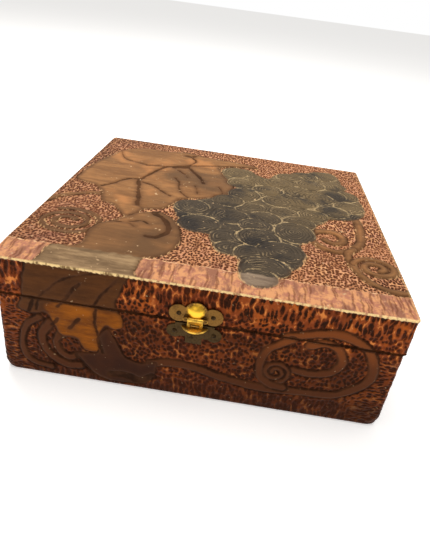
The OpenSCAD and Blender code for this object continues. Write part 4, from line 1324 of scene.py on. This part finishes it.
def makePiping(finish):  # cord sewn round the top edge of the floor cushion
    low, high = boxOf("floor_cushion")
    count = lining["pipingPoints"]
    hw, hd, height = (high - low) / 2 - np.array([lining["pipingR"], lining["pipingR"], 0])
    place = outlineAt(np.arange(count) * 4 * (hw + hd) / count, hw, hd, lining["padR"])[0]
    z = np.full(count, low[2] + 2 * height * lining["pipingUp"])
    points = np.column_stack([place, z]) * mm
    piece = newPiece("floor_cushion_piping", points.tolist(), [(i, (i + 1) % count) for i in range(count)])
    runTree(piece, pipingTree(), {"Radius": lining["pipingR"] * mm, "Step": lining["pipingStep"] * mm,
                                  "Twist": lining["pipingTwist"], "Finish": finish})
    piece.data.shade_smooth()
    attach(piece, "base")


def plainWoodFinish():
    s = Shop("plain_wood_finish")
    rings = s.noise(22, 4, 0.65, s.stretched(0.35, 5, 5), 1.0)
    pores = s.noise(160, 3, 0.6, s.stretched(0.12, 3, 3), 2.0)
    blotch = s.noise(9, 3, 0.6, seed=3.0)
    light, dark, pore, stain = [shade(*tone) for tone in lining["wood"]]
    tone = s.mix(light, dark, s.step(rings, 0.35, 0.65))
    tone = s.mix(tone, pore, s.step(pores, 0.6, 0.75) * 0.5)
    tone = s.mix(tone, stain, s.step(blotch, 0.5, 0.7) * 0.45)
    normal = s.bump(pores + rings * 0.4, 0.35, 0.0004)
    return s.finish(**{"Base Color": tone, "Roughness": 0.62 + pores * 0.2, "Normal": normal})


def makeLining():
    velvet = velvetFinish()
    makeCushion("floor_cushion", "base", 1, velvet)
    makeCushion("lid_cushion", "lid", -1, velvet)
    for side in ("front", "back", "left", "right"):
        makeLiningBoard(side + "_lining", velvet)
    makePiping(velvet)
    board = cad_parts["base_bottom_board"]
    board.data.materials.clear()
    board.data.materials.append(plainWoodFinish())


makeMetal()
print("metal made")
makeLining()
print("lining made")


stageLight = {
    "room": 0.42,      # light from all round
    "floorGlow": 0.42,
    "floorHalf": 6.0,  # metres
    "floorDown": 0.3,  # millimetres under the box
    "boxes": [         # name, place, aimed at, size, power, colour
        ("back_softbox", (-0.5, 0.7, 1.5), (0, 0.05, 0.06), 0.7, 14, (1, 0.97, 0.93)),
        ("top_softbox", (0.25, -0.1, 1.6), (0, 0, 0.05), 1.0, 10, (1, 0.98, 0.95)),
        ("front_softbox", (-0.4, -1.3, 0.7), (0, 0, 0.04), 0.7, 1.2, (1, 0.96, 0.9)),
    ],
}


def makeStage():
    s = Shop("pale_floor")
    cloud = s.noise(3, 2, 0.5)
    tone = s.mix((0.93, 0.93, 0.93), (0.96, 0.96, 0.96), cloud)
    floorFinish = s.finish(**{"Base Color": tone, "Roughness": 0.9, "Specular IOR Level": 0.0,
                              "Emission Color": (1, 1, 1, 1), "Emission Strength": stageLight["floorGlow"]})
    half, z = stageLight["floorHalf"], -stageLight["floorDown"] * mm
    corners = [(-half, -half, z), (half, -half, z), (half, half, z), (-half, half, z)]
    floor = newPiece("floor", corners, faces=[(0, 1, 2, 3)], finish=floorFinish)
    world = bpy.data.worlds.new("studio")
    world.use_nodes = True
    nodes, links = world.node_tree.nodes, world.node_tree.links
    room, wall = nodes["Background"], nodes.new("ShaderNodeBackground")
    room.inputs["Color"].default_value = (1.0, 0.97, 0.93, 1)
    room.inputs["Strength"].default_value = stageLight["room"]
    wall.inputs["Color"].default_value = (1, 1, 1, 1)
    path, pick = nodes.new("ShaderNodeLightPath"), nodes.new("ShaderNodeMixShader")
    links.new(path.outputs["Is Camera Ray"], pick.inputs[0])
    links.new(room.outputs[0], pick.inputs[1])
    links.new(wall.outputs[0], pick.inputs[2])
    links.new(pick.outputs[0], nodes["World Output"].inputs["Surface"])
    bpy.context.scene.world = world
    bpy.context.scene.view_settings.view_transform = "Standard"
    for name, place, aim, size, power, tone in stageLight["boxes"]:
        data = bpy.data.lights.new(name, "AREA")
        data.size, data.energy, data.color = size, power, tone
        lamp = bpy.data.objects.new(name, data)
        lamp.location = place
        lamp.rotation_euler = (Vector(aim) - Vector(place)).to_track_quat("-Z", "Y").to_euler()
        bpy.context.scene.collection.objects.link(lamp)


camera = {
    "lens": 32.39,
    "place": (0.01461, -0.35839, 0.23498),
    "aim": (0.00048, 0.01076, 0.01830),
    "roll": 7.69,      # degrees the camera leans
}


def makeCamera():
    data = bpy.data.cameras.new("camera")
    data.lens = camera["lens"]
    data.clip_start = 0.01
    view = bpy.data.objects.new("camera", data)
    view.location = camera["place"]
    ahead = (Vector(camera["aim"]) - Vector(camera["place"])).normalized()
    right = ahead.cross(Vector((0, 0, 1))).normalized()
    up = right.cross(ahead)
    roll = math.radians(camera["roll"])
    across = right * math.cos(roll) + up * math.sin(roll)
    above = up * math.cos(roll) - right * math.sin(roll)
    turn = Matrix((across, above, -ahead)).transposed()
    view.rotation_mode = "QUATERNION"
    view.rotation_quaternion = turn.to_quaternion()
    bpy.context.scene.collection.objects.link(view)
    bpy.context.scene.camera = view


makeStage()
makeCamera()
print("stage set")
